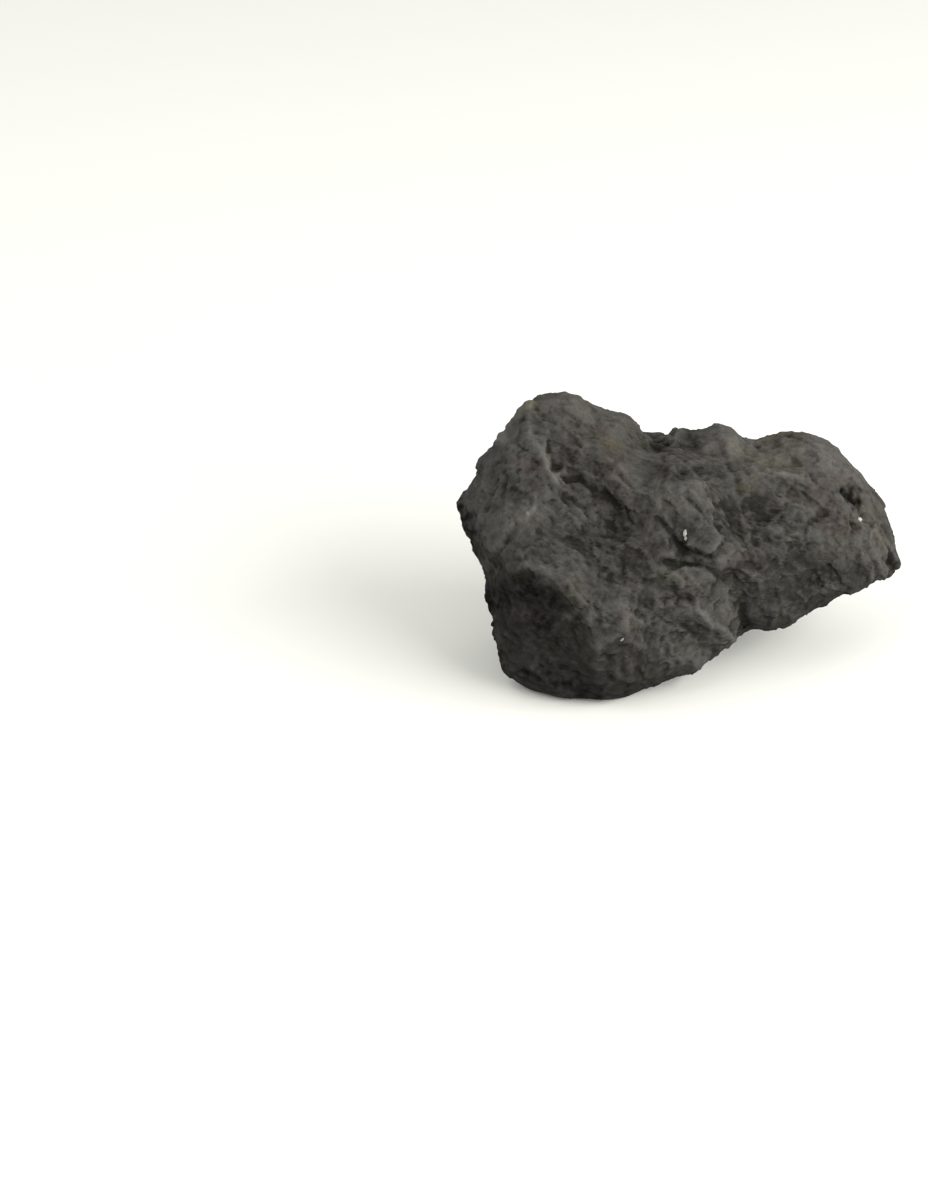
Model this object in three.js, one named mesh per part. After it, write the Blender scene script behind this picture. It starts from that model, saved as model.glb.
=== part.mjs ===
// A raw lump of black shungite: one solid stone, broken from its bed and worn a little round.
//
// Millimetres, +Z up. +X runs along the stone from its tall blunt end to its low end, and its
// broad broken face looks towards -Y. The stone rests on a small flat spot at z = 0, and the
// origin is the centre of its bounding box, at the bottom.
//
// Convex masses, each the hull of its named corners, are blended into one smooth body. Relief
// is raised on it: scallops and lumps all over, and the grooves, ridges and hollows that are
// listed by name. A closed skin is shrunk onto the smooth body, and then onto its relief.

import * as THREE from "three";
import { ConvexGeometry } from "three/addons/geometries/ConvexGeometry.js";
import { ImprovedNoise } from "three/addons/math/ImprovedNoise.js";
import { mergeVertices } from "three/addons/utils/BufferGeometryUtils.js";

// Driving dimensions, mm
const LENGTH = 100; // end to end, along X
const EDGE_WEAR = 0.8; // how far the broken edges are worn round
const JOIN_WEAR = 3; // how far the masses flow into each other

// Hollows and lumps all over the broken surface, from broad to small
const SCALLOPS = [
  { size: 15, depth: 2.6, seed: 1 },
  { size: 7, depth: 1.6, seed: 4 },
];
const LUMPS = [
  { size: 11, height: 1.2, seed: 5.3 },
  { size: 4, height: 0.7, seed: 2.7 },
];

// The skin, which starts as a ball of 20 * (SKIN_DETAIL + 1)^2 triangles around the body
const SKIN_DETAIL = 19;
const BALL_RADII = [54, 32, 32];
const BALL_HEIGHT = 28; // of its middle
const BODY_ROUNDS = 60; // rounds of shrinking onto the smooth body
const STONE_ROUNDS = 8; // and then onto the finished stone
const EASE = 0.5; // how far a round moves each vertex towards the middle of its neighbours
const SLOPE_STEP = 0.5; // the step over which the finished stone's slope is found
const LEAST_SLOPE = 0.3; // keeps a vertex from leaping where the field is nearly level

// ---- The masses: named corners, [x, y, z] -----------------------------------------------

// The tall end: a blunt wedge with a summit and a tilted left face.
const TALL_MASS = {
  summitLeft: [-33.5, 8, 59],
  summitMiddle: [-28, 12, 58.1],
  summitRight: [-21, 14, 55.5],
  spur: [-34.5, 4, 59],
  leftBrow: [-39, 4, 47.7],
  leftUpper: [-44.3, 3, 41.2],
  leftTip: [-50, 2, 38],
  leftTipLow: [-49.6, -2, 34],
  leftHeel: [-39.5, -13, 25],
  ribKnee: [-31, -4, 53.5],
  ribMiddle: [-34, -16, 44],
  edgeTop: [-36, -29, 36],
  shelfLeft: [-24, -21, 38],
  hollowLeft: [-24, -10, 46],
  hollowRight: [-13, -10, 40],
  toeFront: [-26, -21, 2],
  toeRight: [-13, -19, 2],
  waistLow: [6, -6, 20],
  waistUpper: [2, 4, 38],
  backUpper: [-34, 20, 46],
  backRight: [-10, 24, 44],
  backWaist: [4, 26, 34],
  backLeft: [-43, 14, 26],
  backFootLeft: [-31, 12, 1],
  backFootRight: [2, 18, 1],
};

// The bulge that hangs over the hollow of the broad face, below the summit.
const BULGE_MASS = {
  topLeft: [-30, 8, 58],
  topMiddle: [-22, 13, 55.5],
  topRight: [-17, 14, 53.2],
  rightUpper: [-10.5, 14, 51.5],
  rightEnd: [-7.5, 12, 49],
  rightBack: [-8, 20, 44],
  browLeft: [-27, -1, 51],
  browMiddle: [-19, -3.5, 48],
  noseUpper: [-9, -6, 44],
  noseLow: [-9, -10.5, 38.5],
  noseRight: [-3, -5, 42],
  noseBack: [0, 6, 40],
  wallLow: [-15, -8, 39.5],
  backLeft: [-30, 18, 44],
};

// The apron: the lower lobe of the broad face. A sharp edge runs down it to the toe, with an
// undercut face on its left and a face that leans back on its right.
const APRON_MASS = {
  edgeTop: [-36, -29, 36],
  edgeMiddle: [-25.5, -31, 33],
  edgeBend: [-20.5, -32, 28.5],
  edgeLow: [-17, -30, 18],
  edgeFoot: [-18, -26, 9],
  leftHeel: [-40, -14, 23],
  leftMiddle: [-40, -12, 15],
  leftFoot: [-40.5, -12, 6],
  toeLeft: [-34.5, -18.5, 0.7],
  toeFront: [-27, -23.2, -0.3],
  toeMiddle: [-19, -24, 1],
  toeRight: [-13, -24.5, 2.6],
  toeRise: [-6, -21.5, 3.5],
  shelfMiddle: [-14, -18, 34.5],
  shelfRight: [-2, -13, 31.5],
  shelfEnd: [8, -9, 28.5],
  ridgeMiddle: [-10, -27, 21.5],
  rightUpper: [12, -10.5, 22],
  rightEdge: [4.5, -16, 18],
  rightLow: [12.5, -11.5, 8.5],
  rightCorner: [15.5, -9, 11.5],
  footFront: [3.5, -17.5, 5.5],
  footRight: [9, -14, 7],
  restRight: [6, -2, -0.5],
  restBack: [6, 12, -0.5],
  backUpper: [12, 6, 30],
  backLeft: [-38, 6, 24],
  restLeft: [-28, 10, -0.5],
};

// The middle of the broad face, between the bulge, the apron and the low end.
const MIDDLE_MASS = {
  topLeft: [-5, -6, 44.5],
  topRight: [3.5, -5.5, 43.5],
  leftUpper: [-8.5, -9.5, 38.5],
  rightUpper: [10, -8, 36],
  rightLow: [11, -10.5, 30.5],
  foldRight: [5.5, -14, 28],
  foldLeft: [-3, -16.5, 29.5],
  leftLow: [-8.5, -16.5, 32],
  backLeft: [-8, 10, 34],
  backRight: [8, 12, 34],
};

// The low end: a thick slab that leans back, with a broad top and a blunt right end.
const LOW_MASS = {
  crestLeft: [-5.5, 20, 46],
  crestPeak: [9, 24, 46.8],
  crestRight: [26, 26, 45],
  crestEnd: [34, 24, 44],
  endShoulder: [39.2, 20, 39.8],
  endUpper: [40.2, 18, 34.6],
  endMiddle: [44, 14, 27.8],
  endRib: [47.6, 11, 23],
  endTip: [50.8, 8, 19],
  endLow: [50, 5.5, 15.8],
  browLeft: [-4, 1, 43.5],
  browMiddle: [12, 9, 45],
  browRight: [29, 7, 40.5],
  faceLeft: [5, -7, 34.5],
  bulgeMiddle: [14, -7, 31],
  bulgeLow: [18, -11, 20.5],
  joinLow: [6, -12, 20],
  faceLow: [30, -7, 22],
  faceRight: [39, -2.5, 28.5],
  faceEnd: [45, 4, 25],
  sillLeft: [15, -9, 11.5],
  sillMiddle: [20, -10, 10.8],
  sillRight: [28, -8, 13.8],
  sillEnd: [36, -4, 19],
  underEnd: [44, 14, 18],
  underMiddle: [18, 8, 4],
  backUpper: [6, 31, 36],
  backCrest: [30, 32, 36],
  backEnd: [42, 26, 25],
  backLow: [28, 28, 12],
  restBack: [6, 22, 1],
  waist: [-8, 4, 24],
  backWaist: [-14, 26, 36],
  backWaistLow: [-12, 22, 8],
};

// Two triangles of a hull are one face where they look the same way from the same place.
const SAME_WAY = 0.995; // cosine of the angle between them
const SAME_REACH = 0.6; // mm

// The outward planes of the convex hull of a mass's corners.
function facesOf(corners) {
  const points = Object.values(corners).map((corner) => new THREE.Vector3(...corner));
  const { position } = new ConvexGeometry(points).attributes;
  const faces = [];
  for (let i = 0; i < position.count; i += 3) {
    const [a, b, c] = [0, 1, 2].map((k) => new THREE.Vector3().fromBufferAttribute(position, i + k));
    const normal = new THREE.Triangle(a, b, c).getNormal(new THREE.Vector3());
    const reach = normal.dot(a);
    const alike = faces.filter((face) => face.normal.dot(normal) > SAME_WAY);
    const isKnown = alike.some((face) => Math.abs(face.reach - reach) < SAME_REACH);
    if (!isKnown) faces.push({ normal, reach });
  }
  return faces;
}

const MASSES = [TALL_MASS, BULGE_MASS, APRON_MASS, MIDDLE_MASS, LOW_MASS].map(facesOf);

// Soft largest of some fields, each a value with its slope: a larger wear rounds more.
function softLargest(fields, wear) {
  const largest = Math.max(...fields.map((field) => field.value));
  let total = 0;
  const slope = new THREE.Vector3();
  for (const field of fields) {
    const share = Math.exp((field.value - largest) / wear);
    total += share;
    slope.addScaledVector(field.slope, share);
  }
  return { value: largest + wear * Math.log(total), slope: slope.divideScalar(total) };
}

// Roughly how far outside the smooth body a point is, in mm, with the way out of the body.
function bodyAt(point) {
  const insides = MASSES.map((faces) => {
    const fields = faces.map(({ normal, reach }) => ({ value: normal.dot(point) - reach, slope: normal }));
    const mass = softLargest(fields, EDGE_WEAR);
    return { value: -mass.value, slope: mass.slope.negate() };
  });
  const body = softLargest(insides, JOIN_WEAR);
  return { value: -body.value, slope: body.slope.negate() };
}

// ---- The relief that is all over --------------------------------------------------------

// The bedding rises to the right along the stone, and the relief is drawn out along it.
const BEDDING = new THREE.Matrix4().makeRotationFromEuler(new THREE.Euler(0.35, 0.75, 0.2));
const BEDDING_STRETCH = new THREE.Vector3(0.6, 1, 1);

function alongBedding(point, size) {
  return point.clone().applyMatrix4(BEDDING).multiply(BEDDING_STRETCH).divideScalar(size);
}

const noise = new ImprovedNoise();
const sum = (numbers) => numbers.reduce((total, number) => total + number, 0);

// Rounded lumps, from -1 to 1.
function lumps(point, size, seed) {
  const { x, y, z } = alongBedding(point, size);
  return noise.noise(x + seed, y + 2 * seed, z + 3 * seed);
}

// A number from 0 to 1 that is always the same for the same cell and seed.
function scatter(i, j, k, seed) {
  const mixed = Math.sin(i * 127.1 + j * 311.7 + k * 74.7 + seed * 53.3) * 43758.5453;
  return mixed - Math.floor(mixed);
}

// Shell-shaped hollows with sharp ridges between them, as broken stone has: 0 in the middle
// of a hollow, about 1 at the highest ridges.
function scallops(point, size, seed) {
  const place = alongBedding(point, size);
  const cell = place.clone().floor();
  let nearest = Infinity;
  for (let i = -1; i <= 1; i++) {
    for (let j = -1; j <= 1; j++) {
      for (let k = -1; k <= 1; k++) {
        const [x, y, z] = [cell.x + i, cell.y + j, cell.z + k];
        const middle = new THREE.Vector3(
          x + scatter(x, y, z, seed),
          y + scatter(x, y, z, seed + 1),
          z + scatter(x, y, z, seed + 2),
        );
        nearest = Math.min(nearest, middle.distanceToSquared(place));
      }
    }
  }
  return nearest;
}

// What scallops() is on average, so that the hollows don't swell or shrink the stone.
const SCALLOP_MEAN = 0.35;

function texture(point) {
  const hollow = ({ size, depth, seed }) => depth * (scallops(point, size, seed) - SCALLOP_MEAN);
  const swell = ({ size, height, seed }) => height * lumps(point, size, seed);
  return sum(SCALLOPS.map(hollow)) + sum(LUMPS.map(swell));
}

// ---- The relief that is named -----------------------------------------------------------

// Each mark follows a path over the stone, [x, y, z], and raises it by rise, or sinks it where
// rise is negative. It fades out over width to each side. One with a flat of 2 or more has a
// flatter top and steeper sides.
const MARKS = {
  // the tall end
  shoulderHollow: { rise: -1.8, width: 4, path: [[-44.4, 2.8, 44.5], [-43, 12, 38]] },
  peakNick: { rise: -1.4, width: 3, path: [[-19, 6, 54], [-18, 16, 54]] },
  shoulderNotch: { rise: -0.7, width: 4, path: [[-40, 12, 50], [-38, 3, 53], [-36, -6, 51]] },
  trough: { rise: -1.6, width: 5, path: [[-26, -8, 47], [-19, -8, 44], [-12, -10, 39]] },
  troughWall: {
    rise: -1.6,
    width: 1.8,
    path: [[-25, -6, 48], [-21.5, -5, 48], [-16.5, -7, 44], [-11, -10, 38]],
  },
  bulgeRidge: { rise: 1, width: 3, path: [[-20, -1, 50], [-14, -3, 47], [-9, -5, 44]] },
  spurRidge: {
    rise: 1.5,
    width: 2.5,
    path: [[-34, 4, 59], [-30.5, -2, 53], [-28, -7, 49], [-26.5, -11, 46]],
  },
  spurGroove: { rise: -1.2, width: 2, path: [[-31, 3, 57], [-27, -2, 53]] },
  leftGroove: { rise: -1.5, width: 2, path: [[-39, -5, 47], [-40.5, -10, 42]] },
  leftHollow: { rise: -2.2, width: 3.4, path: [[-46, -3, 31.5], [-45.2, -7, 29.5], [-43, -13, 21]] },
  leftRib: { rise: 1.5, width: 2.2, path: [[-36, -14, 43], [-39, -19, 37], [-41, -17, 30]] },
  litKnob: { rise: 0.6, width: 2.6, path: [[-33, -16, 44], [-32, -20, 41]] },
  underHollow: { rise: -4, width: 8, path: [[-36, -22, 26], [-30, -26, 22], [-26, -26, 15]] },
  underBrow: {
    rise: -2.5,
    width: 4,
    path: [[-39, -17, 29], [-34, -25, 31], [-27, -28, 29], [-22, -28, 23]],
  },
  underKnob: { rise: 1.5, width: 4, path: [[-37, -18, 13], [-34, -19, 6]] },
  toeNotch: { rise: -3, width: 1.8, path: [[-20.6, -22.6, 1], [-19.6, -25, 8]] },
  // the apron
  footHollow: { rise: -1.5, width: 4, path: [[-9, -23, 2.5], [-0.5, -18.5, 3]] },
  apronEdge: {
    rise: 1.4,
    width: 2.4,
    path: [[-35, -28, 36], [-25, -29, 33], [-20, -30, 28], [-17, -29, 18], [-17, -27, 8]],
  },
  apronLedge: { rise: 0.8, width: 2.5, path: [[-20, -18, 38], [-12, -16, 35], [-4, -15, 32]] },
  apronHollow: { rise: -1.2, width: 3.5, path: [[-16, -23, 33], [-8, -21, 28], [-3, -20, 22]] },
  foldGroove: { rise: -1.8, width: 1.8, path: [[-3, -13, 31], [1, -12, 29], [5, -10, 28.5]] },
  foldRidge: { rise: 1.2, width: 2.4, path: [[6, -9, 29], [14, -7, 30.5], [20, -6, 29]] },
  lowRib: { rise: 1.5, width: 1.9, path: [[3, -16, 21], [8, -13, 13], [12, -10, 9]] },
  lowHollow: { rise: -1.8, width: 3, path: [[5, -15, 12], [8, -13, 9]] },
  sideNotch: { rise: -3.2, width: 2.6, path: [[15, -9, 11], [13, -10, 19], [9, -10, 25]] },
  // the waist
  valley: { rise: -8.2, width: 2.9, path: [[-6.4, 30, 38], [-7.6, 20, 46], [-7.4, 10, 48]] },
  valleyCrease: {
    rise: -1.2,
    width: 2.4,
    path: [[-5.5, 10, 48], [-5, 6, 46], [-6, 0, 45], [-8, -5, 43]],
  },
  flake: {
    rise: 2.4,
    width: 4.3,
    flat: 4,
    path: [[-2.5, -3, 42], [3, -6, 35.5], [6.5, -7.5, 32.5]],
  },
  flakePit: { rise: -2, width: 2.3, path: [[8, -3, 36], [9.5, -4, 34.5]] },
  // the low end
  crestStart: { rise: 1.2, width: 2.4, path: [[-2.4, 18, 46], [-2.4, 24, 45]] },
  crestDip: { rise: -3.6, width: 4.2, path: [[15.5, 14, 44], [15.5, 30, 42]] },
  crestNick: { rise: -1.2, width: 2.5, path: [[3, 16, 46], [3, 26, 44]] },
  topHollow: { rise: -2, width: 4, path: [[17, 14, 44], [27, 12, 41]] },
  topRidge: {
    rise: 1.4,
    width: 2.4,
    path: [[10, 15, 45], [14.5, 10, 43.5], [19, 8, 42], [28.5, 8, 39.5]],
  },
  faceHollow: { rise: -2.2, width: 3.6, path: [[15, -0.5, 37], [21, -1, 34.5]] },
  faceRidge: { rise: 1.5, width: 2.2, path: [[20, -3, 33], [26, 2, 36]] },
  faceHollowLow: { rise: -2, width: 4, path: [[26, -4, 29], [29, -6, 23]] },
  endPit: { rise: -3.4, width: 2.2, path: [[38, 11, 36], [41, 9, 32]] },
  endGroove: { rise: -2, width: 1.7, path: [[44, 9, 29], [47.5, 6, 22], [48, 5, 19]] },
  sillHollow: { rise: -3.6, width: 5, path: [[31, -1.5, 13.5], [37, 2.5, 13], [43, 3.5, 16]] },
  sillNick: { rise: -2, width: 3, path: [[35.5, -0.5, 15.6], [38, 0, 16.4]] },
  endRidge: { rise: 1.2, width: 1.8, path: [[46.5, 10, 29], [49, 8, 22]] },
  // the back
  backHollow: { rise: -3, width: 8, path: [[-22, 24, 34], [-12, 28, 26]] },
  backLedge: {
    rise: 2.2,
    width: 3,
    path: [[-34, 20, 44], [-22, 24, 46], [-8, 26, 40], [4, 31, 32]],
  },
  backRidge: { rise: 2.4, width: 3.5, path: [[-2, 30, 36], [2, 30, 24], [-2, 26, 12]] },
  backScar: { rise: -2.4, width: 5, flat: 2, path: [[16, 34, 30], [26, 33, 24]] },
  backGroove: { rise: -2, width: 2.2, path: [[-34, 18, 30], [-26, 21, 20], [-20, 22, 10]] },
  backEndPit: { rise: -2, width: 2.6, path: [[38, 27, 30], [41, 24, 26]] },
};

const marks = Object.values(MARKS).map((mark) => ({
  ...mark,
  path: mark.path.map((place) => settle(new THREE.Vector3(...place), bodyAt)),
}));

// How far a point is from a path of straight stretches.
function distanceTo(path, point) {
  const nearest = new THREE.Vector3();
  const distances = path.slice(1).map((end, i) => {
    new THREE.Line3(path[i], end).closestPointToPoint(point, true, nearest);
    return nearest.distanceTo(point);
  });
  return Math.min(...distances);
}

function reliefAt(point) {
  const named = marks.map(({ rise, width, flat = 1, path }) => {
    const away = distanceTo(path, point) / width;
    return rise * Math.exp(-(away ** (2 * flat)));
  });
  return texture(point) + sum(named);
}

// How far outside the finished stone a point is, with the way out, found over a short step.
function stoneAt(point) {
  const value = bodyAt(point).value - reliefAt(point);
  const slope = new THREE.Vector3();
  for (const axis of ["x", "y", "z"]) {
    const beside = point.clone();
    beside[axis] += SLOPE_STEP;
    slope[axis] = (bodyAt(beside).value - reliefAt(beside) - value) / SLOPE_STEP;
  }
  return { value, slope };
}

// ---- The skin ---------------------------------------------------------------------------

// A ball of even triangles, drawn out to the stone's size.
function makeBall() {
  const ball = new THREE.IcosahedronGeometry(1, SKIN_DETAIL);
  ball.deleteAttribute("normal");
  ball.deleteAttribute("uv");
  return mergeVertices(ball)
    .scale(...BALL_RADII)
    .translate(0, 0, BALL_HEIGHT);
}

// For each vertex, the set of vertices that share an edge with it.
function neighboursOf({ index, attributes }) {
  const around = Array.from({ length: attributes.position.count }, () => new Set());
  for (let i = 0; i < index.count; i += 3) {
    const corners = [index.getX(i), index.getX(i + 1), index.getX(i + 2)];
    corners.forEach((a) => corners.forEach((b) => a !== b && around[a].add(b)));
  }
  return around;
}

// Shrinks the points onto a surface, and lets them spread evenly over it.
function shrink(points, around, rounds, surfaceAt) {
  for (let round = 0; round < rounds; round++) {
    const middles = around.map((near) => {
      const middle = new THREE.Vector3();
      near.forEach((k) => middle.add(points[k]));
      return middle.divideScalar(near.size);
    });
    points.forEach((point, i) => settle(point.lerp(middles[i], EASE), surfaceAt, 2));
  }
}

// Moves a point straight onto the surface where the field is 0.
function settle(point, surfaceAt, steps = 6) {
  for (let i = 0; i < steps; i++) {
    const { value, slope } = surfaceAt(point);
    point.addScaledVector(slope, -value / Math.max(slope.lengthSq(), LEAST_SLOPE));
  }
  return point;
}

// ---- The stone --------------------------------------------------------------------------

function makeStone() {
  const ball = makeBall();
  const around = neighboursOf(ball);
  const { position } = ball.attributes;
  const points = around.map((_, i) => new THREE.Vector3().fromBufferAttribute(position, i));
  points.forEach((point) => settle(point, bodyAt));
  shrink(points, around, BODY_ROUNDS, bodyAt);
  shrink(points, around, STONE_ROUNDS, stoneAt);
  for (const point of points) {
    settle(point, stoneAt);
    point.z = Math.max(point.z, 0);
  }
  const skin = ball.setFromPoints(points);
  skin.computeBoundingBox();
  const middle = skin.boundingBox.getCenter(new THREE.Vector3());
  const scale = LENGTH / (skin.boundingBox.max.x - skin.boundingBox.min.x);
  skin.translate(-middle.x, -middle.y, 0).scale(scale, scale, scale);
  const shungite = new THREE.MeshStandardMaterial({ color: 0x454340, roughness: 0.85, metalness: 0 });
  const stone = new THREE.Mesh(skin, shungite);
  stone.name = "shungite_stone";
  return stone;
}

const group = new THREE.Group();
group.add(makeStone());

export default group;
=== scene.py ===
"""A raw lump of black shungite, lying on a pale floor in soft light from the right.

The stone starts as a merged copy of its CAD solid. It is subdivided and pulled onto flat facets.
Marks that are listed by name are cut into it and raised on it, and then plates, chips, flakes and
pits break up its whole surface. A few pale grains of quartz sit in it, their pale colour partly a
painted glint.
"""

import math

import bpy
import numpy as np
from mathutils import Matrix, Vector
from mathutils.bvhtree import BVHTree


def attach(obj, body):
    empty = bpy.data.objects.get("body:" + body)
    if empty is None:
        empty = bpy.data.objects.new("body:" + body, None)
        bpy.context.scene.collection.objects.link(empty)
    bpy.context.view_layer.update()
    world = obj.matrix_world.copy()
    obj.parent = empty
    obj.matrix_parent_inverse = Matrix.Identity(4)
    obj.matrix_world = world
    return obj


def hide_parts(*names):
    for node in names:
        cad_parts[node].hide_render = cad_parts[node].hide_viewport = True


bl_info = {
    "name": "Shungite stone",
    "version": (1, 0, 0),
    "blender": (4, 5, 0),
    "location": "View3D > Sidebar > Shungite",
    "description": "Models a raw piece of black shungite, and the stage that it lies on",
    "category": "Object",
}

MM = 0.001
STONE_NODE = "shungite_stone"
BODY = "root"

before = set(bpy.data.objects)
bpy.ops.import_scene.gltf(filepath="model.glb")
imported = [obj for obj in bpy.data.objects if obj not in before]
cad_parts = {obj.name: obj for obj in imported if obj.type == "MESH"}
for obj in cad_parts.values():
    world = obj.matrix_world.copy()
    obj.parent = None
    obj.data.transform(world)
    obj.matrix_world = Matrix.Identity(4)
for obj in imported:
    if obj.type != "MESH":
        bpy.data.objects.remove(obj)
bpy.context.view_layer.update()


# ---- Settings ---------------------------------------------------------------------------


def length(name, description, default, unit=MM):
    """A size, whose default is given in a unit and kept in metres."""
    return bpy.props.FloatProperty(
        name=name, description=description, default=default * unit, min=0.0, precision=5, unit="LENGTH"
    )


def strength(name, description, default):
    return bpy.props.FloatProperty(name=name, description=description, default=default, min=0.0)


def power(name, description, default):
    return bpy.props.FloatProperty(
        name=name, description=description, default=default, min=0.0, unit="POWER"
    )


def share(name, description, default):
    return bpy.props.FloatProperty(
        name=name, description=description, default=default, min=0.0, max=1.0, subtype="FACTOR"
    )


def colour(name, description, default):
    return bpy.props.FloatVectorProperty(
        name=name, description=description, default=default, min=0.0, max=1.0, subtype="COLOR"
    )


class StoneSettings(bpy.types.PropertyGroup):
    """The stone's sizes, in millimetres, and its colours"""

    facet_share: share("Facet share", "Share of the solid's triangles that the flat facets keep", 0.1)
    facet_sharpness: share("Facet sharpness", "How far the surface is pulled onto flat facets", 0.7)
    ridge_strength: strength("Ridge strength", "How strongly named ridges and grooves are cut", 0.55)
    ledge_strength: strength("Ledge strength", "How strongly named ledges are raised", 0.8)
    plate_size: length("Plate size", "Width of the largest broken plates", 8.0)
    plate_height: length("Plate height", "Height of the largest broken plates", 0.7)
    chip_size: length("Chip size", "Width of the chips", 3.4)
    chip_height: length("Chip height", "Height of the chips", 0.75)
    flake_size: length("Flake size", "Width of the small flakes", 1.5)
    flake_height: length("Flake height", "Height of the small flakes", 0.32)
    knob_size: length("Knob size", "Width of the rounded knobs", 2.6)
    knob_height: length("Knob height", "Height of the rounded knobs", 0.46)
    pit_size: length("Pit size", "Width of the pits and lumps between the chips", 1.8)
    pit_height: length("Pit height", "Height of the pits and lumps between the chips", 0.95)
    grain_size: length("Grain size", "Width of the grain of broken faces", 0.7)
    grain_height: length("Grain height", "Height of the grain of broken faces", 0.22)
    # the black is the stone's own darkest colour, and in hollows and on undersides it is also painted
    # shade
    black: colour("Black", "Hollows and undersides, where no dust settles", (0.0121, 0.0118, 0.0094))
    grey: colour("Grey", "Broken faces", (0.0318, 0.0304, 0.0296))
    # the dust colour is partly a film of dust and partly painted light on upward faces, on lit edges
    # and knobs, and on listed patches
    dust_and_light: colour("Dust", "Worn edges and tops, under a film of dust", (0.0940, 0.0893, 0.0838))
    rust: colour("Rust", "What pinkish-brown stains let through", (1.0, 0.82, 0.84))
    olive: colour("Olive", "What greenish-brown stains let through", (0.97, 0.97, 0.70))
    roughness: share("Roughness", "How matte the stone is", 0.82)


class GrainSettings(bpy.types.PropertyGroup):
    """The pale grains that sit in the stone"""

    sink: share("Sink", "How much of each grain is below the surface", 0.5)
    # the pale quartz colour is partly the grain's own colour and partly a painted glint
    colour: colour("Colour", "Colour of the clean quartz", (0.32, 0.31, 0.285))
    dirt: colour("Dirt", "Colour of the quartz where it is dirty", (0.07, 0.067, 0.058))
    roughness: share("Roughness", "How rough the quartz is", 0.35)


class StageSettings(bpy.types.PropertyGroup):
    """The floor, the light and the camera"""

    floor: colour("Floor", "Colour of the floor", (0.78, 0.78, 0.76))
    room_colour: colour("Room colour", "Colour of the light from all round", (1.0, 1.0, 0.955))
    room_strength: strength("Room strength", "Strength of the light from all round", 0.78)
    lamp_power: power("Lamp power", "Power of the soft lamp on the right", 18.0)
    fill_power: power("Fill power", "Power of the soft lamp on the left", 3.5)
    lamp_size: length("Lamp size", "Width of the soft lamps", 0.9, unit=1.0)


# ---- Node trees -------------------------------------------------------------------------

STEP_SOFTNESS = 0.1  # of the steps between plates: 0 is a sharp step
BEND_SIZE = 0.75  # of a cell's size: the size of the noise that bends its edges
BEND_DETAIL = 3.0
KNOB_TOP = 0.3  # height of a knob's middle, in its size


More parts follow.
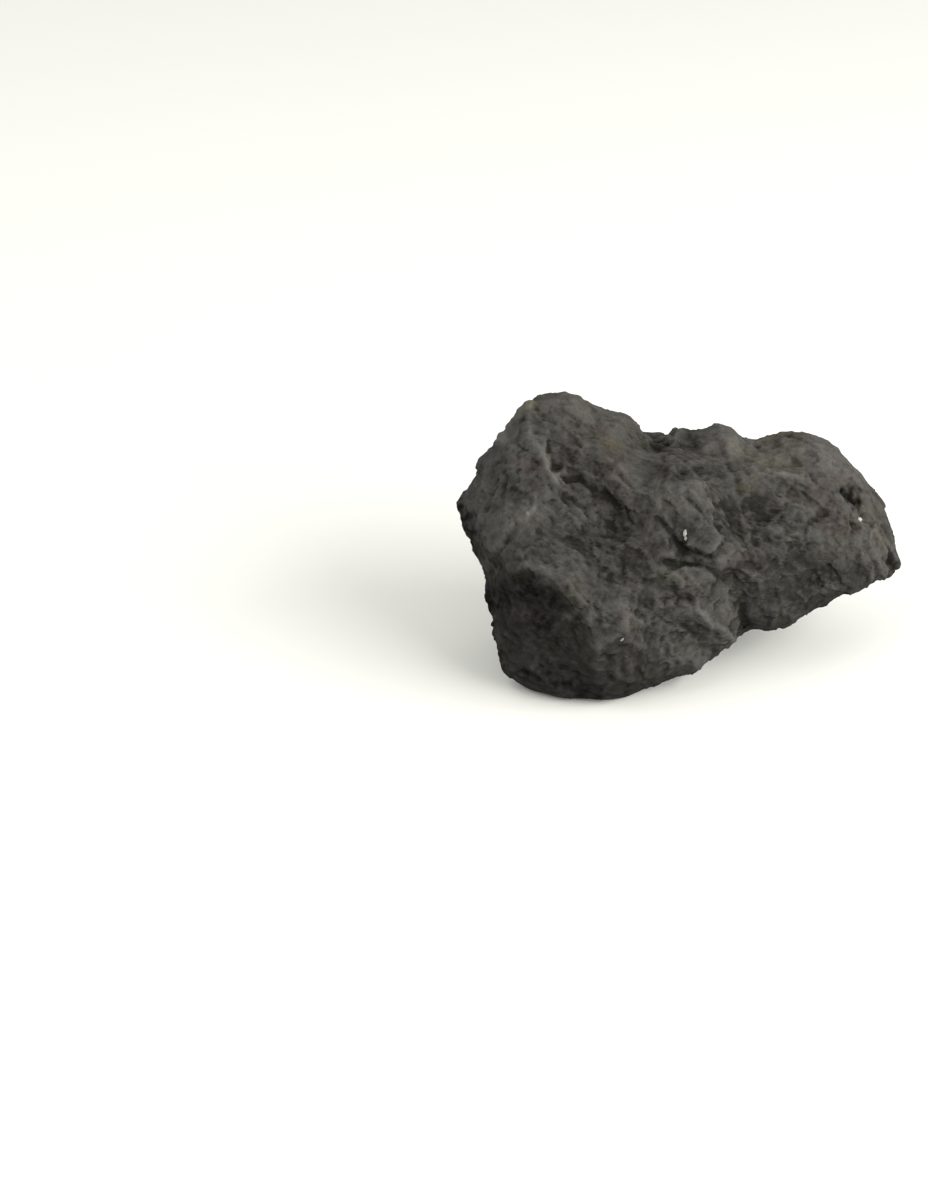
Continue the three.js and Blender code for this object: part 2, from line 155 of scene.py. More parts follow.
class Graph:
    """A node tree that is written as formulas: each call adds a node and returns its output."""

    def __init__(self, tree):
        self.tree = tree

    def node(self, kind, inputs=None, **settings):
        """A node with its settings, and values or links on the inputs that are named."""
        made = self.tree.nodes.new(kind)
        for name, value in settings.items():
            setattr(made, name, value)
        for name, value in (inputs or {}).items():
            self.put(made.inputs[name], value)
        return made

    def put(self, socket, value):
        if isinstance(value, bpy.types.NodeSocket):
            self.tree.links.new(value, socket)
        else:
            socket.default_value = value

    def math(self, operation, *values):
        made = self.node("ShaderNodeMath", operation=operation)
        for socket, value in zip(made.inputs, values):
            self.put(socket, value)
        return made.outputs[0]

    def times(self, first, second):
        return self.math("MULTIPLY", first, second)

    def sum(self, *values):
        total = values[0]
        for value in values[1:]:
            total = self.math("ADD", total, value)
        return total

    def weighted(self, shares, values):
        """The sum of the values that have a share, each times its share."""
        return self.sum(*[self.times(values[name], share) for name, share in shares.items()])

    def vector(self, operation, *values):
        made = self.node("ShaderNodeVectorMath", operation=operation)
        for socket, value in zip(made.inputs, values):
            self.put(socket, value)
        return made.outputs["Value" if operation == "DOT_PRODUCT" else "Vector"]

    def scale(self, vector, factor):
        made = self.node("ShaderNodeVectorMath", operation="SCALE")
        self.put(made.inputs["Scale"], factor)
        self.put(made.inputs[0], vector)
        return made.outputs["Vector"]

    def shifted(self, place, size, seed):
        """The place in a unit of size, moved by a seed."""
        return self.vector("ADD", self.scale(place, 1 / size), (seed, seed, seed))

    def ramp(self, value, start, end, low=0.0, high=1.0):
        """low up to start, high from end, and a smooth step between them."""
        inputs = {"Value": value, "From Min": start, "From Max": end, "To Min": low, "To Max": high}
        return self.node("ShaderNodeMapRange", inputs, interpolation_type="SMOOTHSTEP").outputs[0]

    def slope(self, value, start, end):
        """0 up to start, 1 from end, and straight between them."""
        inputs = {"Value": value, "From Min": start, "From Max": end}
        return self.node("ShaderNodeMapRange", inputs).outputs[0]

    def blend(self, amount, first, second, blend_type="MIX"):
        """A colour from the first to the second, or to both multiplied."""
        made = self.node("ShaderNodeMix", data_type="RGBA", blend_type=blend_type)
        self.put(made.inputs[0], amount)
        for socket, value in zip(made.inputs[6:8], (first, second)):
            self.put(socket, value if isinstance(value, bpy.types.NodeSocket) else (*value, 1.0))
        return made.outputs[2]

    def noise(self, place, size, detail=2.0, roughness=0.5, seed=0.0):
        """Lumps of a size, in the unit of place: about -0.5 to 0.5."""
        inputs = {"Vector": self.shifted(place, size, seed), "Scale": 1.0}
        inputs |= {"Detail": detail, "Roughness": roughness}
        return self.math("SUBTRACT", self.node("ShaderNodeTexNoise", inputs).outputs[0], 0.5)

    def bent(self, place, size, reach, seed=0.0):
        """The place, moved about by noise, so that cells of a size get uneven edges.

        The reach is given as a share of that size.
        """
        at = self.shifted(place, BEND_SIZE * size, seed)
        inputs = {"Vector": at, "Scale": 1.0, "Detail": BEND_DETAIL}
        noise = self.node("ShaderNodeTexNoise", inputs).outputs["Color"]
        offset = self.vector("SUBTRACT", noise, (0.5, 0.5, 0.5))
        return self.vector("ADD", place, self.scale(offset, 2 * reach * size))

    def plates(self, place, size, seed=0.0, lean=(0.0, 0.0, 0.0)):
        """Flat faces with broken steps between, each tilted its own way around a common lean.

        Returns their height, in their size, and a tone for each face, from about -1 to 1.
        """
        at = self.shifted(place, size, seed)
        inputs = {"Vector": at, "Scale": 1.0, "Smoothness": STEP_SOFTNESS}
        cells = self.node("ShaderNodeTexVoronoi", inputs, feature="SMOOTH_F1")
        chance = self.vector("SUBTRACT", cells.outputs["Color"], (0.5, 0.5, 0.5))
        tone = self.vector("DOT_PRODUCT", chance, (1.0, 1.0, 1.0))
        across = self.vector("SUBTRACT", at, cells.outputs["Position"])
        return self.vector("DOT_PRODUCT", self.vector("ADD", chance, lean), across), tone

    def knobs(self, place, size, seed=0.0):
        """Rounded knobs with sharp creases between: about -0.5 in a crease to 0.3 on a knob."""
        inputs = {"Vector": self.shifted(place, size, seed), "Scale": 1.0}
        away = self.node("ShaderNodeTexVoronoi", inputs).outputs["Distance"]
        return self.math("SUBTRACT", KNOB_TOP, self.times(away, away))


# ---- The way the stone is seen ----------------------------------------------------------

PICTURE = (928, 1200)  # pixels
PIXEL = 0.2232 * MM  # on the stone
STONE_PIXEL = (678, 545)  # where the middle of the stone shows
STONE_MIDDLE = Vector((0.3, 0, 26.6)) * MM
CAMERA_DISTANCE = 0.75  # m, from that middle
CAMERA_ELEVATION = math.radians(27)
SENSOR = 36  # mm


def camera_matrix():
    """Where the camera stands, and how it is turned."""
    back = Vector((0, -math.cos(CAMERA_ELEVATION), math.sin(CAMERA_ELEVATION)))
    right = Vector((1, 0, 0))
    up = back.cross(right)
    place = STONE_MIDDLE + back * CAMERA_DISTANCE
    across = (PICTURE[0] / 2 - STONE_PIXEL[0]) * PIXEL
    above = (STONE_PIXEL[1] - PICTURE[1] / 2) * PIXEL
    target = STONE_MIDDLE + right * across + up * above
    turn = (place - target).to_track_quat("Z", "Y")
    return Matrix.LocRotScale(place, turn, None)


def seen_from_camera(points):
    """Where points show, in mm right of the stone's middle and above it, and the way to the camera."""
    matrix = camera_matrix()
    place = np.array(matrix.translation)
    seen = (points - place) @ np.array(matrix.to_3x3())
    shown = seen[:, :2] / -seen[:, 2:] * CAMERA_DISTANCE / MM
    middle = np.array([STONE_PIXEL[0] - PICTURE[0] / 2, PICTURE[1] / 2 - STONE_PIXEL[1]])
    toward = place - points
    return shown - middle * PIXEL / MM, toward / np.linalg.norm(toward, axis=1, keepdims=True)


def seen_from_side(azimuth, elevation):
    """A function like seen_from_camera, for a view from far away in a direction, in degrees."""
    round_about = Matrix.Rotation(math.radians(azimuth), 3, "Z")
    upward = Matrix.Rotation(-math.radians(elevation), 3, "X")
    right, back, up = np.array(round_about @ upward).T

    def seen(points):
        from_middle = (points - np.array(STONE_MIDDLE)) / MM
        shown = np.stack([from_middle @ right, from_middle @ up], axis=1)
        return shown, np.broadcast_to(-back, points.shape)

    return seen


# ---- Marks ------------------------------------------------------------------------------

# Each mark follows a path of places, in mm right of the stone's middle and above it, as they show
# from one side. A ridge or groove has its rise and its width to each side. A ledge is a broken
# step: the surface on the right of the path is raised by its rise and falls back over its width.

FRONT_RIDGES = {
    # the peak and the left face
    "spur_ridge": (0.5, 1.3, ((-34, 25), (-32, 22.5), (-30.3, 20), (-28.4, 17), (-26.8, 14.6))),
    "spur_groove": (-1.1, 1.0, ((-30.4, 21.6), (-28.8, 20), (-26.7, 17))),
    "brow_groove": (-0.7, 0.7, ((-37, 25.2), (-33, 25.6), (-31.6, 25))),
    "peak_pit": (-0.6, 0.9, ((-31.8, 28), (-30.4, 28))),
    "peak_pit_low": (-0.9, 0.6, ((-33.6, 26.2), (-31.9, 25.2))),
    "peak_pit_high": (-0.6, 0.7, ((-33, 30), (-31.5, 30.3))),
    "shoulder_groove": (-0.9, 0.7, ((-43, 20), (-40.9, 21.8))),
    "left_rib": (0.8, 0.5, ((-39.2, 15.4), (-39.5, 13), (-41, 9.5))),
    "left_groove": (-1.1, 0.6, ((-38, 15.2), (-38.3, 12.6), (-39.1, 10.8))),
    "left_groove_low": (-0.9, 0.7, ((-36, 5), (-37, 3.2), (-38.6, 0.5))),
    "left_rib_low": (0.6, 0.8, ((-38.6, 4), (-40.2, 0.5), (-42, -4))),
    "left_pit": (-0.9, 0.6, ((-32.3, 18.8), (-31.3, 18.5))),
    "left_knob": (0.7, 0.9, ((-46, 8), (-45.2, 8.6))),
    "left_knob_low": (0.6, 0.7, ((-44.2, 7.4), (-43.2, 5.6))),
    "bright_knob": (1.0, 0.8, ((-34.8, 6), (-33.2, 7.5))),
    "face_pit": (-0.8, 0.9, ((-31.6, 2.8), (-30.8, 2.6))),
    "left_rim": (0.7, 0.8, ((-42.3, -9.4), (-40.4, -8.8), (-38, -6.8))),
    "left_edge_hollow": (-0.8, 1.6, ((-49, 8.5), (-47.6, 4), (-45.8, 0), (-44.2, -4.5))),
    # the bulge
    "bulge_groove": (-0.8, 0.6, ((-13.6, 15.8), (-11.6, 14), (-10.4, 12.6))),
    "bulge_rib": (0.6, 0.7, ((-15.2, 15), (-12.6, 13.2), (-11.2, 11.6))),
    "bulge_rib_high": (0.5, 0.7, ((-16, 19.6), (-13.8, 17.8), (-11.6, 16))),
    "brow_notch": (-1.3, 0.8, ((-25.6, 15.2), (-23.4, 14.9))),
    "brow_notch_right": (-1.1, 0.8, ((-22, 14.6), (-20.4, 14), (-18.8, 12.6))),
    "bulge_hollow": (-1.0, 2.6, ((-18, 11), (-15, 7), (-13, 3.5))),
    "hollow_pit_high": (-0.7, 0.8, ((-14.8, 10.6), (-13.8, 9.8))),
    "hollow_pit_middle": (-0.7, 0.9, ((-14.2, 7), (-12.6, 6.4))),
    "hollow_pit_low": (-0.6, 0.9, ((-15.8, 3), (-14.2, 2.2))),
    "chip_pit": (-0.9, 0.5, ((-28.9, 13.6), (-28.2, 12.4))),
    "chip_pit_low": (-0.9, 0.5, ((-29.2, 9.9), (-28.4, 9.8))),
    # the waist and the low end
    "valley_crease": (-1.1, 0.8, ((-6, 24), (-4.8, 22.4), (-4.2, 20.6), (-3, 18.9))),
    "waist_hollow": (-1.0, 1.6, ((-4, 23.4), (-1, 23.6), (2, 22.6))),
    "waist_pit": (-0.8, 0.7, ((-2.6, 19.2), (-1.2, 18.8))),
    "top_pit": (-0.9, 1.2, ((0.8, 16.2), (4.6, 16.4))),
    "crest_pit": (-0.7, 0.6, ((6.8, 17.8), (7.4, 17.4))),
    "flake_crest": (0.7, 0.6, ((0.8, 12.4), (2.6, 12.5), (4.4, 10.2), (6.6, 9), (9, 7.4))),
    "flake_crest_pit": (-0.8, 0.7, ((6.6, 7.6), (8.4, 6.2))),
    "flake_end_pit": (-2.4, 0.6, ((8.8, 4.7), (10.4, 3))),
    "flake_end_notch": (-0.9, 0.5, ((10.8, 1.4), (12.4, 1))),
    "flake_spot": (-0.5, 0.5, ((0.8, 7.6), (1.3, 7.4))),
    "waist_line": (0.5, 0.6, ((-5.4, 13.6), (-3, 13), (-1, 11.2))),
    "face_hollow": (-1.0, 2.0, ((16.8, 8), (18.6, 6.6), (20, 8.4))),
    "face_hollow_deep": (-1.1, 0.8, ((18.2, 5), (19.4, 4.9))),
    "face_rib": (0.9, 0.8, ((20.2, 4.4), (22, 6), (23.8, 7.6))),
    "brown_pit": (-1.1, 0.7, ((31.4, 7.6), (32.6, 7))),
    "brown_pit_low": (-0.8, 0.7, ((30.2, 6.2), (31.2, 6))),
    "pale_knob": (0.7, 0.7, ((31.2, 9.6), (31.9, 10))),
    "crest_spot": (-0.9, 0.5, ((28.4, 20.7), (29, 20.6))),
    "crest_pit_left": (-0.9, 0.6, ((17.8, 21.6), (18.8, 21))),
    "crest_pit_right": (-0.8, 0.6, ((25.6, 18.6), (27.2, 18))),
    "top_dip": (-1.0, 1.6, ((20.6, 17.6), (23, 18.4), (26, 18.4))),
    "top_rib": (1.0, 0.8, ((16.5, 17.4), (20, 15.8), (24, 15.9), (27.6, 15.2), (30.2, 12.8))),
    "end_pit": (-2.2, 0.65, ((36.9, 12), (38.2, 10.6), (40, 8.4))),
    "end_pit_side": (-0.5, 0.5, ((40, 10.4), (40.8, 9.4))),
    "end_pit_high": (-0.5, 0.9, ((37.8, 13), (39.4, 12.4))),
    "end_pit_knob": (0.9, 0.5, ((39.4, 9.2), (39.9, 8.8))),
    "end_spot": (-1.3, 0.5, ((38.2, 6.6), (38.5, 6.1))),
    "end_spot_right": (-1.1, 0.45, ((40.3, 7.1), (41, 6.8))),
    "end_crescent": (-1.2, 0.5, ((38.8, 5), (39.6, 4.5), (41, 4.6))),
    "end_rib_left": (1.0, 0.7, ((40.8, -1.4), (42, -4.2), (43, -7))),
    "end_rib_middle": (1.2, 0.7, ((42.6, 1), (43.9, -2), (45.4, -7))),
    "end_rib_right": (1.3, 0.7, ((44.4, 4), (46.2, 0.8), (48.4, -2.6))),
    "end_groove_left": (-1.1, 0.6, ((41.6, 1.6), (42.6, -1.6), (44.4, -6.2))),
    "end_groove_right": (-1.9, 0.7, ((45.4, -0.6), (46.6, -3.2), (48.2, -5))),
    "end_groove_high": (-1.0, 0.6, ((45.8, 4.2), (46.8, 2.8), (47.8, 1))),
    "low_hollow": (-0.9, 2.4, ((24, -4.4), (27.6, -6), (29, -8.6))),
    "low_hollow_right": (-0.8, 1.8, ((35, -7), (39, -7.4))),
    "low_pit": (-0.7, 1.2, ((19.4, -3.6), (21, -4.4))),
    "side_notch": (-1.5, 1.0, ((14.6, -13.6), (14.8, -16), (15.4, -18.4))),
    # the apron
    "fold_groove": (-0.9, 0.35, ((0, -4.3), (2.4, -4.1), (4.8, -4.4))),
    "fold_groove_left": (-0.7, 0.6, ((-3.6, -3.8), (-0.8, -4.2))),
    "fold_pit": (-1.0, 0.8, ((-7.4, -7.9), (-6, -8.3))),
    "apron_groove": (-0.9, 0.6, ((-8.6, -10.8), (-8, -12.4), (-6.8, -13.4))),
    "apron_pit": (-1.3, 0.6, ((-9.2, -15), (-7.9, -15.9))),
    "apron_pit_right": (-1.1, 0.6, ((1, -12.3), (2.4, -12.6))),
    "apron_spot": (-0.9, 0.7, ((-24.4, -4.4), (-23.4, -5.4))),
    "apron_hollow": (-0.8, 1.6, ((-8.2, -18.6), (-7, -21))),
    "apron_hollow_low": (-0.8, 1.6, ((-3, -20.8), (-2, -24))),
    "low_groove": (-0.7, 0.7, ((-12, -26), (-11.8, -30))),
    "low_groove_left": (-0.6, 0.7, ((-15.8, -27), (-14.8, -30))),
    "low_rib": (1.2, 0.7, ((3.4, -10.6), (4, -13.2), (5, -15.4), (8, -18), (10.6, -19), (12, -21.6))),
    "low_rib_hollow": (-1.4, 1.1, ((9, -19.6), (10.4, -21.4), (11.2, -22.8))),
    "apron_line": (0.6, 0.6, ((-6, -11.6), (-4.6, -13), (-2, -13.8), (-0.4, -11.8))),
    "apron_line_left": (0.6, 0.6, ((-14.2, -9), (-12, -10), (-9.8, -11.2))),
    "apron_line_high": (0.6, 0.5, ((-9.2, -5), (-7, -6), (-5.2, -7.4))),
    "apron_line_low": (0.6, 0.6, ((-9.6, -18.8), (-8.6, -20.4), (-8, -22.2))),
    # the undercut
    "brow_edge": (1.1, 1.2, ((-38.2, -6.4), (-34, -4), (-29, -5.2), (-25, -8.4), (-21.8, -12.6))),
    "under_rib": (0.9, 0.8, ((-22.4, -14), (-25.6, -16.6), (-29, -19.6))),
    "under_rib_left": (0.7, 0.8, ((-31, -16.4), (-32.2, -18.6), (-34.4, -19))),
    "under_pit": (-1.4, 1.5, ((-31.6, -11), (-31.8, -13))),
    "under_pit_left": (-1.2, 1.6, ((-41, -12), (-38.4, -13))),
    "under_pit_top": (-1.1, 1.3, ((-36.4, -7.6), (-33.8, -8))),
    "under_pit_low": (-0.9, 1.4, ((-38.2, -22), (-38, -23.6))),
    "under_pit_middle": (-0.8, 1.0, ((-33.2, -22.8), (-31.8, -22.4))),
    "under_pit_right": (-0.8, 1.2, ((-28.6, -22.6), (-27, -22))),
    "under_edge": (0.6, 0.9, ((-20.6, -17.6), (-19.4, -21.2), (-17, -26))),
}

FRONT_LEDGES = {
    "flake_foot": (1.0, 5.0, ((9.6, 0.6), (8.4, -1), (5.6, -2.1), (3.6, -1.3), (1.8, -0.2))),
    "flake_side": (1.0, 4.0, ((2, -0.4), (0.4, 1), (-1, 2.8), (-2.4, 4.4), (-4.4, 6.3))),
    "flake_back": (0.7, 3.0, ((1.2, 10.4), (4, 7.6), (6.4, 5.4), (8.4, 3.6), (10.2, 1.8))),
    "flake_shadow": (0.5, 1.2, ((-2.6, 0.4), (-3.6, 3), (-4.8, 5.6))),
    "bulge_brow": (1.1, 5.0, ((-12.8, 8.6), (-15, 11.4), (-18.4, 13), (-21.6, 15.2), (-25.4, 15.4))),
    "bulge_side": (0.8, 3.0, ((-9.6, 5.4), (-11, 8.2), (-13.4, 11.4))),
    "chip_rim": (0.9, 3.0, ((-24.6, 9.2), (-22, 7.8), (-20.8, 5.4))),
    "chip_face": (0.7, 3.0, ((-21.2, 5.6), (-22.6, 5), (-25, 4.8))),
    "chip_line": (0.8, 2.4, ((-16.8, 4.6), (-18.4, 5.2), (-20, 6.6))),
    "chip_high": (0.6, 2.6, ((-21, 9.2), (-23.4, 10.4), (-26, 12.2), (-28.6, 14.8))),
    "fold_plate": (0.9, 4.0, ((-2, -6.4), (0.2, -5), (3, -4.9), (6, -5.2), (8, -7.6))),
    "fold_step": (0.7, 3.0, ((-0.6, -3.2), (-3, -3.4), (-5.2, -1.2))),
    "right_step": (0.7, 3.5, ((5.4, -3.6), (8, -3), (11, -1.6), (14, -0.6))),
    "waist_step": (0.9, 3.0, ((-1.4, 15.8), (1, 14.2), (4, 14.2), (6.6, 14.4))),
    "crest_step": (0.7, 3.0, ((16, 15.8), (14.2, 17.4), (12.2, 19.6), (10, 21.4))),
    "end_step": (0.7, 3.0, ((28.4, 1.4), (28.8, 4), (30.6, 5.2), (33.4, 5.2))),
    "face_step": (0.6, 3.0, ((16, 0.4), (19, -1.6), (20.6, -4.4))),
    "low_step": (0.6, 3.0, ((29.2, 0.4), (25, 0.2), (21, 1.2))),
    "apron_step": (0.7, 3.0, ((-11.6, -14.6), (-9.6, -15.6), (-7.6, -17.4))),
    "apron_step_low": (0.6, 3.0, ((3.4, -19), (1.6, -17.6), (-0.6, -17))),
    "left_step": (0.6, 3.0, ((-33, -0.8), (-35, -2.4), (-37.4, -3))),
    "left_face_step": (0.5, 3.0, ((-40.4, 17.4), (-38.6, 18.2), (-36.6, 17.6))),
}

LEFT_RIDGES = {
    "shoulder_swell": (2.3, 2.8, ((-3.6, 9.8), (-10, 11.5))),
    "tip_hollow": (-2.8, 2.4, ((2, 4.2), (-1, 4.5), (-5, 5))),
    "heel_swell": (1.6, 4.0, ((8.5, -10), (8.2, -16), (8.2, -20))),
    "long_groove": (-1.0, 1.0, ((-14, 14), (-8, 6), (-4, -6))),
    "cross_groove": (-0.8, 0.8, ((-2, 8), (6, 4), (12, -2))),
    "low_pit": (-1.2, 1.6, ((6, -12), (9, -13))),
}
LEFT_LEDGES = {
    "left_plate": (0.5, 6.0, ((14, -10), (8, -4), (2, 2), (-2, 10), (-4, 18))),
    "left_plate_low": (0.5, 5.0, ((-12, -6), (-4, -9), (4, -8), (10, -12))),
}
RIGHT_RIDGES = {
    "right_groove": (-1.0, 1.0, ((-8, 4), (0, 2), (8, 6))),
    "right_pit": (-1.3, 1.5, ((10, -2), (12, -4))),
}
RIGHT_LEDGES = {
    "right_plate": (0.5, 5.0, ((14, 10), (8, 4), (0, -2), (-8, -4))),
}
BACK_RIDGES = {
    "back_groove": (-1.1, 0.9, ((-30, 6), (-20, 2), (-12, -8))),
    "back_groove_high": (-0.9, 0.8, ((8, 20), (16, 10), (20, 0))),
    "back_pit": (-1.4, 1.8, ((-6, 2), (-3, 0))),
    "back_pit_low": (-1.2, 1.4, ((28, -8), (31, -6))),
    "back_rib": (1.0, 1.1, ((-36, -2), (-30, -10), (-22, -14))),
}
BACK_LEDGES = {
    "back_plate": (1.0, 8.0, ((36, 2), (26, -2), (14, 0), (6, 6), (2, 14))),
    "back_plate_low": (1.0, 7.0, ((-4, -8), (-14, -6), (-24, 0), (-34, 4))),
    "back_plate_high": (0.5, 5.0, ((30, 20), (20, 16), (12, 18))),
}
TOP_RIDGES = {
    "peak_swell_left": (1.8, 3.0, ((38.5, 4.2), (36.8, 4.9))),
    "peak_swell_right": (2.2, 2.2, ((12.4, -6), (10.8, -6.3))),
    "crest_start_dip": (-1.9, 2.0, ((3.7, -16), (3.7, -11))),
    "crest_swell_left": (1.4, 2.0, ((-3.5, -14.7), (-6.5, -14.7))),
    "crest_dip_left": (-1.8, 1.6, ((-13.6, -19), (-13.6, -15))),
    "crest_swell_right": (1.4, 1.6, ((-18.8, -19), (-18.8, -15))),
    "crest_dip_right": (-1.2, 2.0, ((-23.8, -19), (-23.8, -15))),
    "top_groove": (-1.0, 0.9, ((-20, 12), (-14, 6), (-10, -2))),
    "top_groove_right": (-0.9, 0.9, ((12, 18), (20, 20), (28, 16))),
}

UNDER_RIDGES = {
    "sill_dip": (-2.2, 3.0, ((33, -6.5), (35.1, -7.1), (38.2, -9.6), (41, -10.3))),
}

MARKS = (
    (seen_from_camera, FRONT_RIDGES, FRONT_LEDGES),
    (seen_from_side(-90, 10), LEFT_RIDGES, LEFT_LEDGES),
    (seen_from_side(90, 10), RIGHT_RIDGES, RIGHT_LEDGES),
    (seen_from_side(180, 15), BACK_RIDGES, BACK_LEDGES),
    (seen_from_side(180, 70), TOP_RIDGES, {}),
    (seen_from_side(0, -50), UNDER_RIDGES, {}),
)
